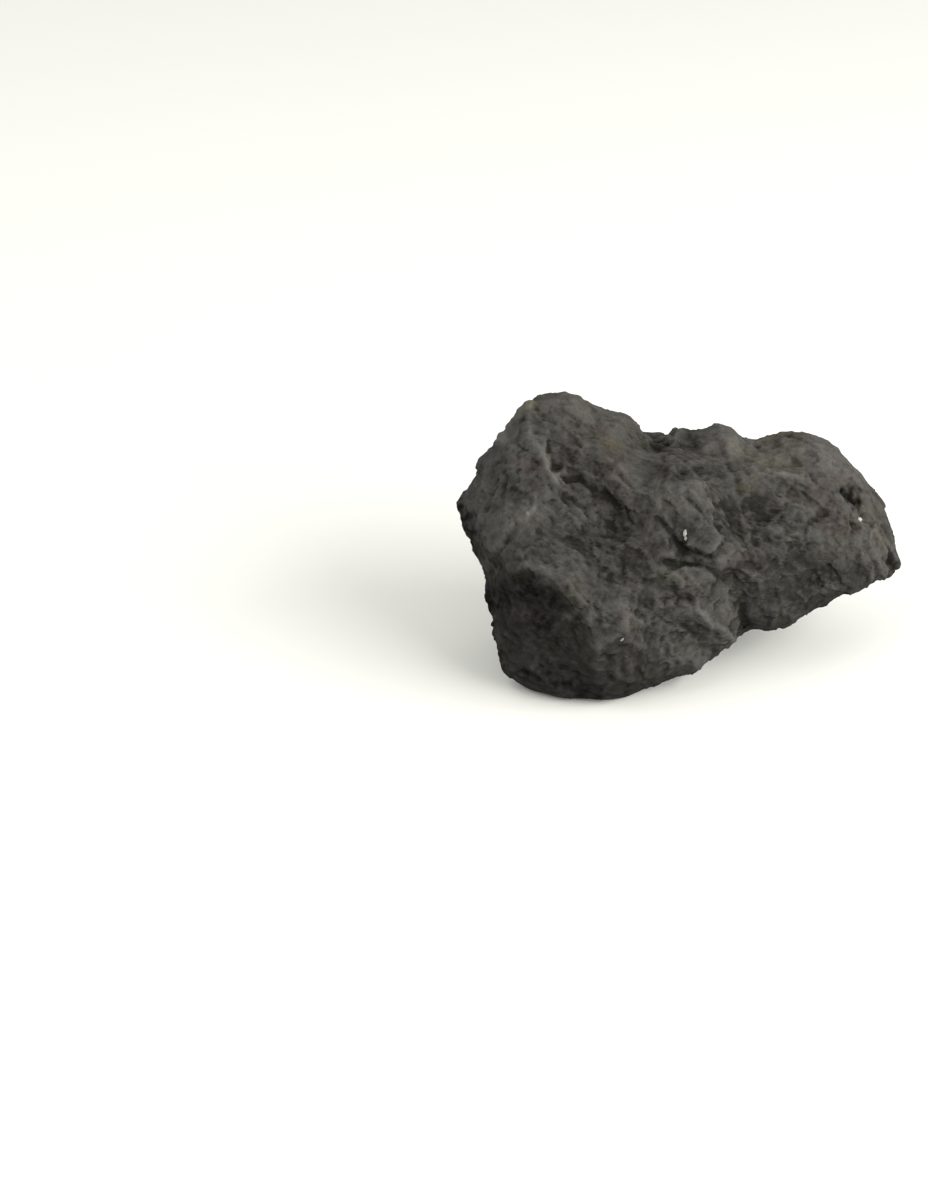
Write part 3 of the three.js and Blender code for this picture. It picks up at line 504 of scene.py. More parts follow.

# Patches of stains, of painted light, of painted shade and of rough ground: strength, width to each
# side, path.
PATCHES = {
    "rust": {
        "bulge_slope": (0.7, 3.0, ((-24, 30), (-19, 26), (-15, 20))),
        "flake_middle": (0.8, 2.2, ((0, 10), (3.4, 10.6), (7.6, 9))),
        "waist_patch": (0.8, 1.8, ((0, 20), (4, 20.6), (8, 19.4))),
        "right_face": (0.8, 3.0, ((25, 12), (32, 8.6), (36, 0))),
        "end_foot": (0.7, 2.4, ((40, -1), (43, -6.6))),
        "brow_patch": (1.0, 1.8, ((-18.6, -13), (-16.4, -13.2))),
        "apron_patch": (0.6, 2.0, ((3, -17), (6, -16.6))),
        "apron_edge": (0.6, 2.4, ((-18, -15.6), (-12, -15.4))),
        "fold_patch": (0.6, 2.0, ((13, -1.4), (16, -2.4))),
        "back_patch": (0.7, 5.0, ((-30, 18), (-22, 22), (-12, 10))),
    },
    "olive": {
        "peak_left": (0.6, 1.8, ((-38, 25.5), (-35, 29.6), (-31, 33))),
        "bulge_top": (0.45, 2.4, ((-14, 23.6), (-11.6, 22), (-10, 24.6))),
        "top_hollow": (0.6, 2.6, ((15.6, 21), (20, 18.6), (27, 19.4))),
        "crest": (0.8, 2.0, ((22, 24), (27, 24.6))),
        "right_end": (0.7, 1.3, ((36.6, 14.4), (38.4, 8.4), (39, 5))),
        "flake_end": (0.9, 1.0, ((11, 2.8), (14, 2.2))),
        "waist_line": (0.8, 0.8, ((-5, 14.2), (-2.6, 14.6))),
        "fold_chip": (0.9, 1.0, ((-5, -1), (-3, -1.4))),
        "brow_line": (0.9, 0.9, ((-24, -7), (-21, -7.8))),
        "fold_right": (0.8, 0.8, ((7, -3.8), (8.6, -3.6))),
        "apron_low": (0.7, 1.4, ((3, -20), (3.4, -25))),
    },
    # patches of painted light: lit ridges, knobs and faces are made lighter, with painted highlights
    # on the spur and on the bright knob
    "painted_light": {
        "left_face": (0.4, 9.0, ((-44, 14), (-41, 4), (-38, 0))),
        "left_face_low": (1.2, 2.0, ((-44, -3), (-42.6, -6))),
        "peak": (0.4, 4.0, ((-24, 33), (-18, 29), (-14, 25))),
        "apron": (0.4, 4.0, ((-10, -14), (-4, -15), (3, -14))),
        "right_face": (0.5, 3.0, ((32, 1), (34, -3), (33, -8))),
        "right_face_top": (0.5, 3.0, ((26, 10), (32, 9))),
        "left_edge": (2.4, 1.3, ((-39.4, 23.4), (-36.4, 28.2), (-33.6, 31.6))),
        "left_shoulder": (0.7, 1.2, ((-43.4, 18.4), (-41.6, 18.6))),
        "bright_knob": (2.4, 1.3, ((-34.8, 6.2), (-33.2, 8))),
        "left_specks": (0.9, 0.8, ((-45.6, 8.6), (-44.2, 6.8), (-43, 4.6))),
        "spur": (1.9, 1.0, ((-33.6, 27), (-32, 23), (-29.6, 19), (-27, 14.6))),
        "low_end_top": (1.0, 5.0, ((10, 24), (20, 20), (32, 20), (38, 16))),
        "top_rib": (0.8, 1.0, ((17, 16.8), (20, 15.8), (27, 15.4), (30, 13))),
        "right_end": (0.9, 3.0, ((36, 14), (41, 8), (44, 0), (46, -6))),
        "flake_crest": (0.7, 0.9, ((0.8, 12.4), (2.6, 12.4), (4.6, 10), (9, 7.4))),
        "fold_plate": (0.5, 2.0, ((-0.4, -6.4), (4, -6.8), (3, -8.8))),
        "low_rib": (1.3, 1.1, ((4.6, -15), (8, -18), (11.6, -20.8))),
        "low_corner": (0.6, 2.5, ((0, -26), (5, -25), (9, -21))),
        "notch_side": (0.6, 3.0, ((13, -9), (12, -15))),
        "fold": (0.6, 1.5, ((0, -3), (8, -2.5))),
        "bulge_right": (0.6, 3.0, ((-12, 17), (-9, 12), (-2, 12.5), (2, 10))),
        "brow": (0.3, 2.4, ((-38, -7), (-33, -3.4), (-28, -6))),
        "brow_right": (0.9, 2.0, ((-24.6, -15.4), (-21, -16.6), (-18.6, -16))),
        "fold_chip": (0.6, 1.2, ((-3.4, -1.6), (-1, -2.4))),
        "apron_line": (0.5, 0.7, ((-5.6, -12), (-2, -13.8), (-0.6, -12))),
    },
    "rough": {
        "spur": (1.0, 3.0, ((-33, 24), (-29, 18), (-27, 12))),
        "brow": (1.0, 4.0, ((-38, -6), (-30, -5), (-21, -12), (-18, -20))),
        "face": (0.9, 6.0, ((14, 8), (22, 6), (32, 2))),
        "centre": (1.0, 7.0, ((-30, 4), (-22, 0), (-12, -4), (-6, -12))),
        "apron": (1.0, 7.0, ((-12, -24), (-2, -18), (4, -12))),
        "undercut": (0.7, 8.0, ((-36, -16), (-28, -22))),
        "left_edge": (0.5, 4.0, ((-46, 10), (-44, 0))),
        "right_end": (0.7, 3.0, ((38, 14), (44, 0), (46, -6))),
        "right_foot": (0.5, 5.0, ((12, -12), (24, -10), (36, -6))),
        "top": (0.5, 4.0, ((2, 22), (18, 21), (28, 20))),
    },
    # patches of painted shade: darkened where shade falls, under the overhang, in hollows and pits,
    # under the flake, and along the shaded left edge and the toe
    "painted_shade": {
        "undercut": (1.55, 4.2, ((-42, -12), (-36, -10), (-31, -12), (-29, -17))),
        "peak_left": (0.3, 3.5, ((-33, 28), (-31, 21), (-30, 14))),
        "left_face": (0.5, 2.6, ((-36.4, 12), (-35, 8))),
        "bulge_low": (0.6, 2.6, ((-19.8, 20), (-18.6, 17))),
        "right_foot": (0.35, 3.5, ((25, -11), (30, -13))),
        "ridge": (0.5, 2.6, ((-25.4, -3), (-25, -9))),
        "face_middle": (0.3, 4.0, ((18, 4), (19, -8))),
        "mid": (0.7, 2.5, ((-8.5, -12), (-7.5, -12.5))),
        "flake": (0.6, 1.8, ((3, 4), (5, 2.5))),
        "trough": (0.5, 2.5, ((-18, 6), (-16, 2))),
        "undercut_low": (0.6, 8.0, ((-37, -20), (-28, -25), (-20, -30), (-10, -33))),
        "left_edge": (
            2.0,
            1.1,
            (
                (-49.4, 9.4),
                (-47.8, 4.4),
                (-45.4, -1),
                (-43.4, -7),
                (-42.4, -14),
                (-41.6, -22),
                (-38, -29.6),
            ),
        ),
        "waist": (0.6, 2.0, ((-4, 23), (-1, 22), (3, 23.4))),
        "top_pit": (0.9, 2.2, ((-1, 15.6), (4, 16.4), (9, 16))),
        "bulge": (0.45, 3.5, ((-26, 20), (-23, 14), (-21, 9))),
        "left_slope": (0.7, 5.0, ((-32, 0), (-26, 2), (-18, 0), (-10, -4), (-5, -2))),
        "apron_top": (0.35, 3.0, ((-20, -9), (-12, -10))),
        "flake_right": (0.6, 3.2, ((11, 8), (14, 4), (20, 2))),
        "flake_left": (0.4, 2.0, ((-6, 4), (-8, 10))),
        "face_hollow": (0.8, 2.2, ((17, 9), (19, 6))),
        "low_hollow": (0.3, 3.0, ((22, -4), (28, -7), (38, -7))),
        "end_pit": (2.0, 1.0, ((37.2, 11.8), (38.6, 10.4), (40.2, 8.6))),
        "fold": (0.6, 0.6, ((0, -4.3), (4.8, -4.4))),
        "flake_shadow": (0.9, 0.6, ((-4, 6), (-0.6, 2.2), (2, -0.3), (5.4, -2.1))),
        "side_notch": (0.5, 1.6, ((15, -17.6), (20, -18))),
        "end_foot": (0.9, 1.0, ((47, -4), (48.4, -5))),
        "toe": (1.3, 3.0, ((-34, -28), (-28, -31), (-18, -33))),
        "toe_right": (0.5, 3.0, ((-14, -33), (-8, -32), (0, -29))),
    },
}

LEDGE_EDGE = 0.35  # mm, half the width of a broken step
LEDGE_FOOT = (0.25, 0.7)  # how deep the surface dips at the foot of a step, and over how many mm
FACING = (0.05, 0.35)  # how far a surface is turned to the viewer: no mark below, all of it above
PATCH_FACING = (-0.45, 0.05)  # the same for patches, which reach round the outline
PATCH_ROUNDS = 100  # of blurring that this is taken over, so that patches fade out there
PATCH_REACH = 0.8  # mm, how far patches are moved about
PATCH_SEED = 11
MARK_REACH = 0.3  # mm, how far marks are moved about
WAVES = 14  # how many waves move them
WAVE_LENGTHS = (1.5, 7)  # mm
REST_HEIGHT = (0.2, 3.0)  # mm above the floor: nothing is raised below, and all of it above


def smooth_step(low, high, values):
    part = np.clip((values - low) / (high - low), 0, 1)
    return part * part * (3 - 2 * part)


def uneven(places, seed, reach=MARK_REACH):
    """The places, moved about by a few waves, so that marks aren't drawn too straight."""
    chance = np.random.default_rng(seed)
    moved = places.copy()
    for _ in range(WAVES):
        across = chance.normal(size=2)
        across *= 2 * math.pi / np.linalg.norm(across) / chance.uniform(*WAVE_LENGTHS)
        swing = np.sin(places @ across + chance.uniform(0, 2 * math.pi))
        moved += swing[:, None] * chance.normal(size=2) * reach / math.sqrt(WAVES)
    return moved


def from_path(places, path):
    """How far places are from a path, + on its right, and how far they are past its ends."""
    path = np.array(path, float)
    nearest = np.full(len(places), np.inf)
    signed = np.zeros(len(places))
    past = np.zeros(len(places))
    last = len(path) - 2
    for i, (start, end) in enumerate(zip(path, path[1:])):
        step = end - start
        reach = np.linalg.norm(step)
        offset = places - start
        along = offset @ step / reach
        distance = np.linalg.norm(offset - np.clip(along, 0, reach)[:, None] * step / reach, axis=1)
        right = step[1] * offset[:, 0] - step[0] * offset[:, 1]
        nearer = distance < nearest
        nearest[nearer] = distance[nearer]
        signed[nearer] = np.copysign(distance, right)[nearer]
        before = np.where(i == 0, np.maximum(-along, 0), 0)
        after = np.where(i == last, np.maximum(along - reach, 0), 0)
        past[nearer] = (before + after)[nearer]
    return signed, past


def ridge_height(places, rise, width, path):
    signed, _ = from_path(places, path)
    return rise * np.exp(-((signed / width) ** 2))


def ledge_height(places, rise, width, path):
    signed, past = from_path(places, path)
    raised = smooth_step(-LEDGE_EDGE, LEDGE_EDGE, signed) * np.exp(-np.maximum(signed, 0) / width)
    depth, reach = LEDGE_FOOT
    foot = depth * np.exp(-(((signed + reach) / reach) ** 2))
    return rise * (raised - foot) * np.exp(-((past / LEDGE_EDGE / 2) ** 2))


def mark_heights(points, normals, settings):
    """How far each point is raised along its normal by all the named marks, in mm."""
    total = np.zeros(len(points))
    for seed, (seen_from, ridges, ledges) in enumerate(MARKS):
        places, toward = seen_from(points)
        places = uneven(places, seed)
        facing = smooth_step(*FACING, np.sum(normals * toward, axis=1))
        height = np.zeros(len(points))
        for mark in ridges.values():
            height += ridge_height(places, *mark) * settings.ridge_strength
        for mark in ledges.values():
            height += ledge_height(places, *mark) * settings.ledge_strength
        total += height * facing
    return total * smooth_step(*REST_HEIGHT, points[:, 2] / MM)


def spread(mesh, values, rounds):
    """Numbers at the points of a mesh, evened out over their neighbours."""
    ends = np.empty(len(mesh.edges) * 2, np.int32)
    mesh.edges.foreach_get("vertices", ends)
    first, second = ends.reshape(-1, 2).T
    neighbours = np.bincount(ends, minlength=len(values))
    for _ in range(rounds):
        total = np.bincount(first, values[second], len(values))
        total += np.bincount(second, values[first], len(values))
        values = (values + total / neighbours) / 2
    return values


def patch_strengths(mesh, points, normals):
    """How strong each kind of patch is at each point, from 0 to about 1."""
    places, toward = seen_from_camera(points)
    places = uneven(places, PATCH_SEED, PATCH_REACH)
    turned = spread(mesh, np.sum(normals * toward, axis=1), PATCH_ROUNDS)
    facing = smooth_step(*PATCH_FACING, turned)
    strengths = {}
    for kind, patches in PATCHES.items():
        layers = [ridge_height(places, *patch) for patch in patches.values()]
        strengths[kind] = np.max(layers, axis=0) * facing
    return strengths


# ---- The stone --------------------------------------------------------------------------

WELD = 0.01 * MM  # corners that are nearer than this are merged
SUBDIVISIONS = 2  # rounds of them, before the surface is worked on


def select_only(piece):
    bpy.ops.object.select_all(action="DESELECT")
    piece.select_set(True)
    bpy.context.view_layer.objects.active = piece


def copy_of(original, name):
    select_only(original)
    bpy.ops.object.duplicate()
    piece = bpy.context.object
    piece.name = name
    piece.data.name = name
    return piece


def copy_of_node(node, name):
    """A merged copy of a CAD node, as a new piece."""
    piece = copy_of(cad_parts[node], name)
    for key in list(piece.keys()):
        del piece[key]
    bpy.ops.object.mode_set(mode="EDIT")
    bpy.ops.mesh.select_all(action="SELECT")
    bpy.ops.mesh.remove_doubles(threshold=WELD)
    bpy.ops.object.mode_set(mode="OBJECT")
    return piece


def apply_modifier(piece, kind, **settings):
    modifier = piece.modifiers.new(kind, kind)
    for name, value in settings.items():
        setattr(modifier, name, value)
    select_only(piece)
    bpy.ops.object.modifier_apply(modifier=modifier.name)


def read_vectors(items, name):
    values = np.empty(len(items) * 3, np.float32)
    items.foreach_get(name, values)
    return values.reshape(-1, 3).astype(float)


def move_vertices(piece, points):
    piece.data.vertices.foreach_set("co", points.astype(np.float32).ravel())
    piece.data.update()


def pull_onto_facets(stone, facet_share, sharpness):
    """Pulls the surface onto the flat faces of a copy that has few triangles.

    Returns the normals of the surface before that.
    """
    facets = copy_of(stone, "facets")
    apply_modifier(facets, "DECIMATE", ratio=facet_share)
    apply_modifier(stone, "SUBSURF", levels=SUBDIVISIONS, render_levels=SUBDIVISIONS)
    smooth = read_vectors(stone.data.vertices, "co")
    normals = read_vectors(stone.data.vertex_normals, "vector")
    apply_modifier(stone, "SHRINKWRAP", target=facets, wrap_method="NEAREST_SURFACEPOINT")
    flat = read_vectors(stone.data.vertices, "co")
    sharpness = sharpness * smooth_step(*REST_HEIGHT, smooth[:, 2:] / MM)
    move_vertices(stone, smooth + (flat - smooth) * sharpness)
    bpy.data.objects.remove(facets)
    return normals


def add_marks(stone, normals, settings):
    """Raises the named marks along the normals, and stores the strength of each kind of patch."""
    mesh = stone.data
    points = read_vectors(mesh.vertices, "co")
    for name, strengths in patch_strengths(mesh, points, normals).items():
        attribute = mesh.attributes.new(name, "FLOAT", "POINT")
        attribute.data.foreach_set("value", strengths.astype(np.float32))
    heights = mark_heights(points, normals, settings) * MM
    move_vertices(stone, points + normals * heights[:, None])


STREAK = Vector((0.82, -0.27, -0.5)).normalized()  # the way that chips are drawn out
STREAK_SHARE = 0.42  # how much longer they are that way
LEAN = (-0.2, 0.0, -0.25)  # chips overlap like shingles, with their steps down to the left
PLATE_BEND = 0.28  # how far the edges of plates, chips and flakes are bent, in their size
KNOB_BEND = 0.3  # the same for knobs
SMALL_KNOBS = 0.5  # size and height of the small knobs, in those of the others
LEAST_KNOBS = 0.3  # how much of their height knobs have where the ground isn't rough
ROUGH_ENOUGH = 0.8  # how rough the ground is where they have all of it
TONES = {"plate": 0.4, "chip": 0.7, "flake": 1.0}  # shares in the tone of a broken face
SLOPE_ROUNDS = 12  # rounds of blurring of the normals that the relief is raised along
BLURS = {"edge": 3, "swell": 14, "bulk": 60}  # rounds of blurring that each attribute is taken over


def blurred(g, value, rounds):
    """A vector on the surface, blurred over some rounds of neighbours."""
    made = g.node("GeometryNodeBlurAttribute", {"Iterations": rounds}, data_type="FLOAT_VECTOR")
    g.put(next(s for s in made.inputs if s.name == "Value" and s.type == "VECTOR"), value)
    return next(s for s in made.outputs if s.name == "Value" and s.type == "VECTOR")


def stored(g, geometry, name, value):
    """The geometry, with a number stored on its points."""
    made = g.node(
        "GeometryNodeStoreNamedAttribute",
        {"Geometry": geometry, "Name": name},
        data_type="FLOAT",
        domain="POINT",
    )
    g.put(next(s for s in made.inputs if s.name == "Value" and s.enabled), value)
    return made.outputs[0]


def drawn_out(g, place):
    """The place, in which a pattern is longer along the streaks of the stone."""
    along = g.vector("DOT_PRODUCT", place, STREAK)
    return g.vector("SUBTRACT", place, g.scale(STREAK, g.times(along, STREAK_SHARE)))


def relief_tree(settings):
    """Geometry nodes that break up the whole surface, and store how convex it is and how far it faces
    up; the colour turns these into wear on edges, painted shade in hollows and painted light on top.
    """
    tree = bpy.data.node_groups.new("broken_surface", "GeometryNodeTree")
    tree.interface.new_socket("Geometry", in_out="INPUT", socket_type="NodeSocketGeometry")
    tree.interface.new_socket("Geometry", in_out="OUTPUT", socket_type="NodeSocketGeometry")
    g = Graph(tree)
    start = g.node("NodeGroupInput")
    end = g.node("NodeGroupOutput")
    normal = g.node("GeometryNodeInputNormal").outputs[0]
    outward = g.vector("NORMALIZE", blurred(g, normal, SLOPE_ROUNDS))
    up = g.vector("DOT_PRODUCT", outward, (0.0, 0.0, 1.0))
    place = g.node("GeometryNodeInputPosition").outputs[0]
    mm = g.scale(place, 1 / MM)
    bed = drawn_out(g, mm)
    sizes = ("plate_size", "chip_size", "flake_size", "knob_size", "pit_size")
    plate, chip, flake, knob, pit = [getattr(settings, name) / MM for name in sizes]
    plates, plate_tone = g.plates(g.bent(bed, plate, PLATE_BEND, seed=3.1), plate, seed=2.0, lean=LEAN)
    chips, chip_tone = g.plates(g.bent(bed, chip, PLATE_BEND, seed=7.7), chip, seed=5.0, lean=LEAN)
    flakes, flake_tone = g.plates(g.bent(mm, flake, PLATE_BEND, seed=1.9), flake, seed=9.0)
    pits = g.noise(bed, pit, detail=3.0, roughness=0.55, seed=4.0)
    uneven_bed = g.bent(bed, knob, KNOB_BEND, seed=4.4)
    knobs = g.knobs(uneven_bed, knob, seed=8.0)
    small_knobs = g.knobs(uneven_bed, knob * SMALL_KNOBS, seed=1.0)
    both_knobs = g.sum(knobs, g.times(small_knobs, SMALL_KNOBS))
    rough = g.node("GeometryNodeInputNamedAttribute", {"Name": "rough"}, data_type="FLOAT").outputs[0]
    knob_height = g.times(g.ramp(rough, 0.0, ROUGH_ENOUGH, LEAST_KNOBS, 1.0), settings.knob_height)
    height = g.sum(
        g.times(plates, settings.plate_height),
        g.times(chips, settings.chip_height),
        g.times(flakes, settings.flake_height),
        g.times(both_knobs, knob_height),
        g.times(pits, settings.pit_height),
    )
    above = g.node("ShaderNodeSeparateXYZ", {"Vector": mm}).outputs["Z"]
    offset = g.scale(outward, g.times(height, g.ramp(above, *REST_HEIGHT)))
    face = g.weighted(TONES, {"plate": plate_tone, "chip": chip_tone, "flake": flake_tone})
    # how far the surface faces up, which the colour turns into painted light from above
    geometry = stored(g, start.outputs[0], "up", up)
    geometry = stored(g, geometry, "face", face)
    geometry = g.node("GeometryNodeSetPosition", {"Geometry": geometry, "Offset": offset}).outputs[0]
    for name, rounds in BLURS.items():
        away = g.vector("SUBTRACT", place, blurred(g, place, rounds))
        geometry = stored(g, geometry, name, g.times(g.vector("DOT_PRODUCT", away, normal), 1 / MM))
    g.put(end.inputs[0], geometry)
    return tree


# What the surface stores at its points, and the colour reads.
STORED = (*BLURS, "up", "face", "rust", "olive", "painted_light", "painted_shade")
# The patterns of the colour: the size in mm, the detail, the roughness and the seed of each.
PATTERNS = {
    "mottle": (2.2, 4.0, 0.65, 6.0),
    "clouds": (9.0, 3.0, 0.55, 13.0),
    "red": (10.0, 6.0, 0.65, 151.0),
    "yellow": (12.0, 6.0, 0.65, 84.0),
}
# What the amounts below are sums of, with the share of each: how worn the surface is, lighter on
# its edges as real wear and darker in its hollows as painted shade; how much dust and painted light
# it has, painted light on upward faces and on listed patches; how pinkish and how greenish its
# stains are; and how blotched the painted shade is.
WORN_AND_SHADED = {"edge": 5.5, "swell": 1.2, "bulk": 0.4, "face": 0.6, "mottle": 3.4, "grain": 1.6}
DUST_AND_LIGHT_SHARES = {"worn": 0.3, "up": 0.9, "clouds": 0.9, "painted_light": 1.0, "painted_shade": -0.9}
PINKISH = {"rust": 1.0, "red": 9.0}
GREENISH = {"olive": 1.0, "yellow": 9.0}
BLOTCHED = {"mottle": 4.0, "clouds": 2.5}
# Where a change starts and where it is complete, in these amounts.
GREY_RANGE = (-1.8, 1.4)
DUST_AND_LIGHT_RANGE = (-0.1, 3.1)
RUST_RANGE = (0.2, 2.5)
OLIVE_RANGE = (0.0, 2.7)
MATTE_RANGE = (-0.8, 0.8)
MATTE_STEP = 0.1  # how far the roughness goes to each side of its setting
PAINTED_SHADE_DEPTH = 0.38  # how much of its colour a patch of painted shade of strength 1 loses, on average
DARKEST = 0.2  # and how much it keeps at least
GLOSS = 0.03  # how strongly the stone mirrors


def stone_material(settings):
    material = bpy.data.materials.new("raw_shungite")
    material.use_nodes = True
    tree = material.node_tree
    g = Graph(tree)
    shader = tree.nodes["Principled BSDF"]
    place = g.scale(g.node("ShaderNodeTexCoord").outputs["Object"], 1 / MM)

    values = {"grain": g.noise(place, settings.grain_size / MM, detail=1.5, roughness=0.5, seed=21.0)}
    for name in STORED:
        values[name] = g.node("ShaderNodeAttribute", attribute_name=name).outputs["Fac"]
    for name, pattern in PATTERNS.items():
        values[name] = g.noise(place, *pattern)
    worn = g.weighted(WORN_AND_SHADED, values)
    values["worn"] = worn
    # painted shade: hollows are darkened towards the black, while worn edges go towards the grey
    broken = g.blend(g.slope(worn, *GREY_RANGE), settings.black, settings.grey)
    # painted light: upward faces, the lit patches and worn edges are lightened towards the dust
    # colour, which is partly real dust
    dust_and_light_amount = g.slope(g.weighted(DUST_AND_LIGHT_SHARES, values), *DUST_AND_LIGHT_RANGE)
    dusted_and_lit = g.blend(dust_and_light_amount, broken, settings.dust_and_light)
    pinkish = g.ramp(g.weighted(PINKISH, values), *RUST_RANGE)
    reddened = g.blend(pinkish, dusted_and_lit, settings.rust, "MULTIPLY")
    greenish = g.ramp(g.weighted(GREENISH, values), *OLIVE_RANGE)
    stained = g.blend(greenish, reddened, settings.olive, "MULTIPLY")
    # painted shade: the colour is darkened in blotches by the patches of painted shade
    blotch = g.sum(g.weighted(BLOTCHED, values), -1.0)
    shade = g.math("MINIMUM", g.times(g.times(values["painted_shade"], PAINTED_SHADE_DEPTH), blotch), 0.0)
    shaded = g.scale(stained, g.math("MAXIMUM", g.sum(1.0, shade), DARKEST))
    g.put(shader.inputs["Base Color"], shaded)
    glossiest = settings.roughness - MATTE_STEP
    most_matte = settings.roughness + MATTE_STEP
    g.put(shader.inputs["Roughness"], g.ramp(worn, *MATTE_RANGE, glossiest, most_matte))
    shader.inputs["Specular IOR Level"].default_value = GLOSS
    bump_height = g.times(values["grain"], settings.grain_height)
    bump = g.node("ShaderNodeBump", {"Height": bump_height, "Distance": 1.0, "Strength": 1.0})
    g.put(shader.inputs["Normal"], bump.outputs[0])
    return material


class ShapeStone(bpy.types.Operator):
    """Model the stone around its CAD solid"""

    bl_idname = "shungite.shape_stone"
    bl_label = "Stone"

    def execute(self, context):
        settings = context.scene.shungite_stone
        stone = copy_of_node(STONE_NODE, "raw_stone")
        normals = pull_onto_facets(stone, settings.facet_share, settings.facet_sharpness)
        add_marks(stone, normals, settings)
        apply_modifier(stone, "NODES", node_group=relief_tree(settings))
        select_only(stone)
        bpy.ops.object.shade_smooth()
        stone.data.materials.clear()
        stone.data.materials.append(stone_material(settings))
        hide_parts(STONE_NODE)
        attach(stone, BODY)
        return {"FINISHED"}


# ---- The grains -------------------------------------------------------------------------

# Where each grain shows, in mm right of the stone's middle and above it, its half width, its
# half length, how far its length leans from upright, in degrees, and how clean it is, which also
# sets how bright its painted glint is.
GRAINS = {
    "flake_grain": ((1.5, 2.7), 0.5, 0.8, 10, 0.9),
    "flake_grain_low": ((1.7, 1.5), 0.35, 0.5, -5, 0.7),
    "end_grain": ((40.5, 5.7), 0.65, 0.5, 0, 1.0),
    "apron_grain": ((-12.5, -21.1), 0.3, 0.6, 40, 0.4),
    "knob_grain": ((-33.6, 7), 0.5, 0.8, -40, 0.0),
}
GRAIN_DEPTH = 0.7  # of its width
GRAIN_BUMPS = (-0.22, 0.12)  # how far its corners are pulled in and out, of its size
GRAIN_SEED = 5
QUARTZ_CLOUDS = (0.5, 3.0)  # size in mm and detail of its dirt
QUARTZ_DIRT = 0.5  # how far the dirt changes how clean it is
CLEAN_RANGE = (-0.2, 1.1)  # all dirt below, and none above
QUARTZ_PITS = 0.3  # mm, their width
QUARTZ_DEPTH = 0.2 * MM


def place_on_stone(tree, shown):
    """The point and the normal of the stone where a place shows in the camera."""
    matrix = camera_matrix()
    pixels = Vector((STONE_PIXEL[0] - PICTURE[0] / 2, PICTURE[1] / 2 - STONE_PIXEL[1]))
    flat = Vector(shown) * MM + pixels * PIXEL
    way = matrix.to_3x3() @ Vector((flat.x, flat.y, -CAMERA_DISTANCE))
    point, normal, _, _ = tree.ray_cast(matrix.translation, way.normalized())
    if point is None:
        raise RuntimeError(f"no stone shows at {shown}")
    return point, normal


class SetGrains(bpy.types.Operator):
    """Set the pale grains into the stone"""

    bl_idname = "shungite.set_grains"
    bl_label = "Grains"

    def execute(self, context):
        settings = context.scene.shungite_grains
        stone = bpy.data.objects["raw_stone"]
        tree = BVHTree.FromObject(stone, context.evaluated_depsgraph_get())
        chance = np.random.default_rng(GRAIN_SEED)
        made = [self.add_grain(tree, chance, settings, *grain) for grain in GRAINS.values()]
        select_only(made[0])
        for grain in made:
            grain.select_set(True)
        bpy.ops.object.join()
        grains = context.object
        grains.name = grains.data.name = "quartz_grains"
        bpy.ops.object.transform_apply(location=True, rotation=True, scale=True)
        grains.data.materials.append(grain_material(settings))
        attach(grains, BODY)
        return {"FINISHED"}

    def add_grain(self, tree, chance, settings, shown, half_width, half_length, lean, clean_and_glinting):
        point, normal = place_on_stone(tree, shown)
        lean = math.radians(lean)
        up = camera_matrix().to_3x3() @ Vector((math.sin(lean), math.cos(lean), 0))
        side = up.cross(normal).normalized()
        up = normal.cross(side)
        turn = Matrix((side, up, normal)).transposed().to_4x4()
        bpy.ops.mesh.primitive_ico_sphere_add(subdivisions=2, radius=MM)
        grain = bpy.context.object
        ball = read_vectors(grain.data.vertices, "co")
        move_vertices(grain, ball * (1 + chance.uniform(*GRAIN_BUMPS, (len(ball), 1))))
        # how clean the grain is, which also sets how bright its painted glint shows
        attribute = grain.data.attributes.new("clean_and_glinting", "FLOAT", "POINT")
        attribute.data.foreach_set("value", np.full(len(ball), clean_and_glinting, np.float32))
        size = Vector((half_width, half_length, half_width * GRAIN_DEPTH))
        centre = point + normal * size.z * MM * (1 - 2 * settings.sink)
        grain.matrix_world = Matrix.Translation(centre) @ turn @ Matrix.Diagonal((*size, 1))
        return grain


def grain_material(settings):
    material = bpy.data.materials.new("quartz")
    material.use_nodes = True
    g = Graph(material.node_tree)
    shader = material.node_tree.nodes["Principled BSDF"]
    place = g.scale(g.node("ShaderNodeTexCoord").outputs["Object"], 1 / MM)
    cloudy = g.noise(place, *QUARTZ_CLOUDS)
    # how bright each grain shows comes partly from its dirt and partly from a painted glint
    clean_and_glinting = g.node("ShaderNodeAttribute", attribute_name="clean_and_glinting").outputs["Fac"]
    shown = g.ramp(g.sum(clean_and_glinting, g.times(cloudy, QUARTZ_DIRT)), *CLEAN_RANGE)
    g.put(shader.inputs["Base Color"], g.blend(shown, settings.dirt, settings.colour))
    pits = g.noise(place, QUARTZ_PITS)
    bump = g.node("ShaderNodeBump", {"Height": pits, "Distance": QUARTZ_DEPTH})
    g.put(shader.inputs["Normal"], bump.outputs[0])
    shader.inputs["Roughness"].default_value = settings.roughness
    return material


# ---- The stage --------------------------------------------------------------------------

LAMP_PLACE = (0.7, -0.36, 0.28)  # m
FILL_PLACE = (-0.6, -0.3, 0.6)
FLOOR_SIZE = 8  # m
FLOOR_ROUGHNESS = 0.9


def add_area_light(name, place, target, size, power, tint):
    bpy.ops.object.light_add(type="AREA", location=place)
    light = bpy.context.object
    light.name = name
    light.data.size = size
    light.data.energy = power
    light.data.color = tint
    light.rotation_euler = (Vector(place) - Vector(target)).to_track_quat("Z", "Y").to_euler()


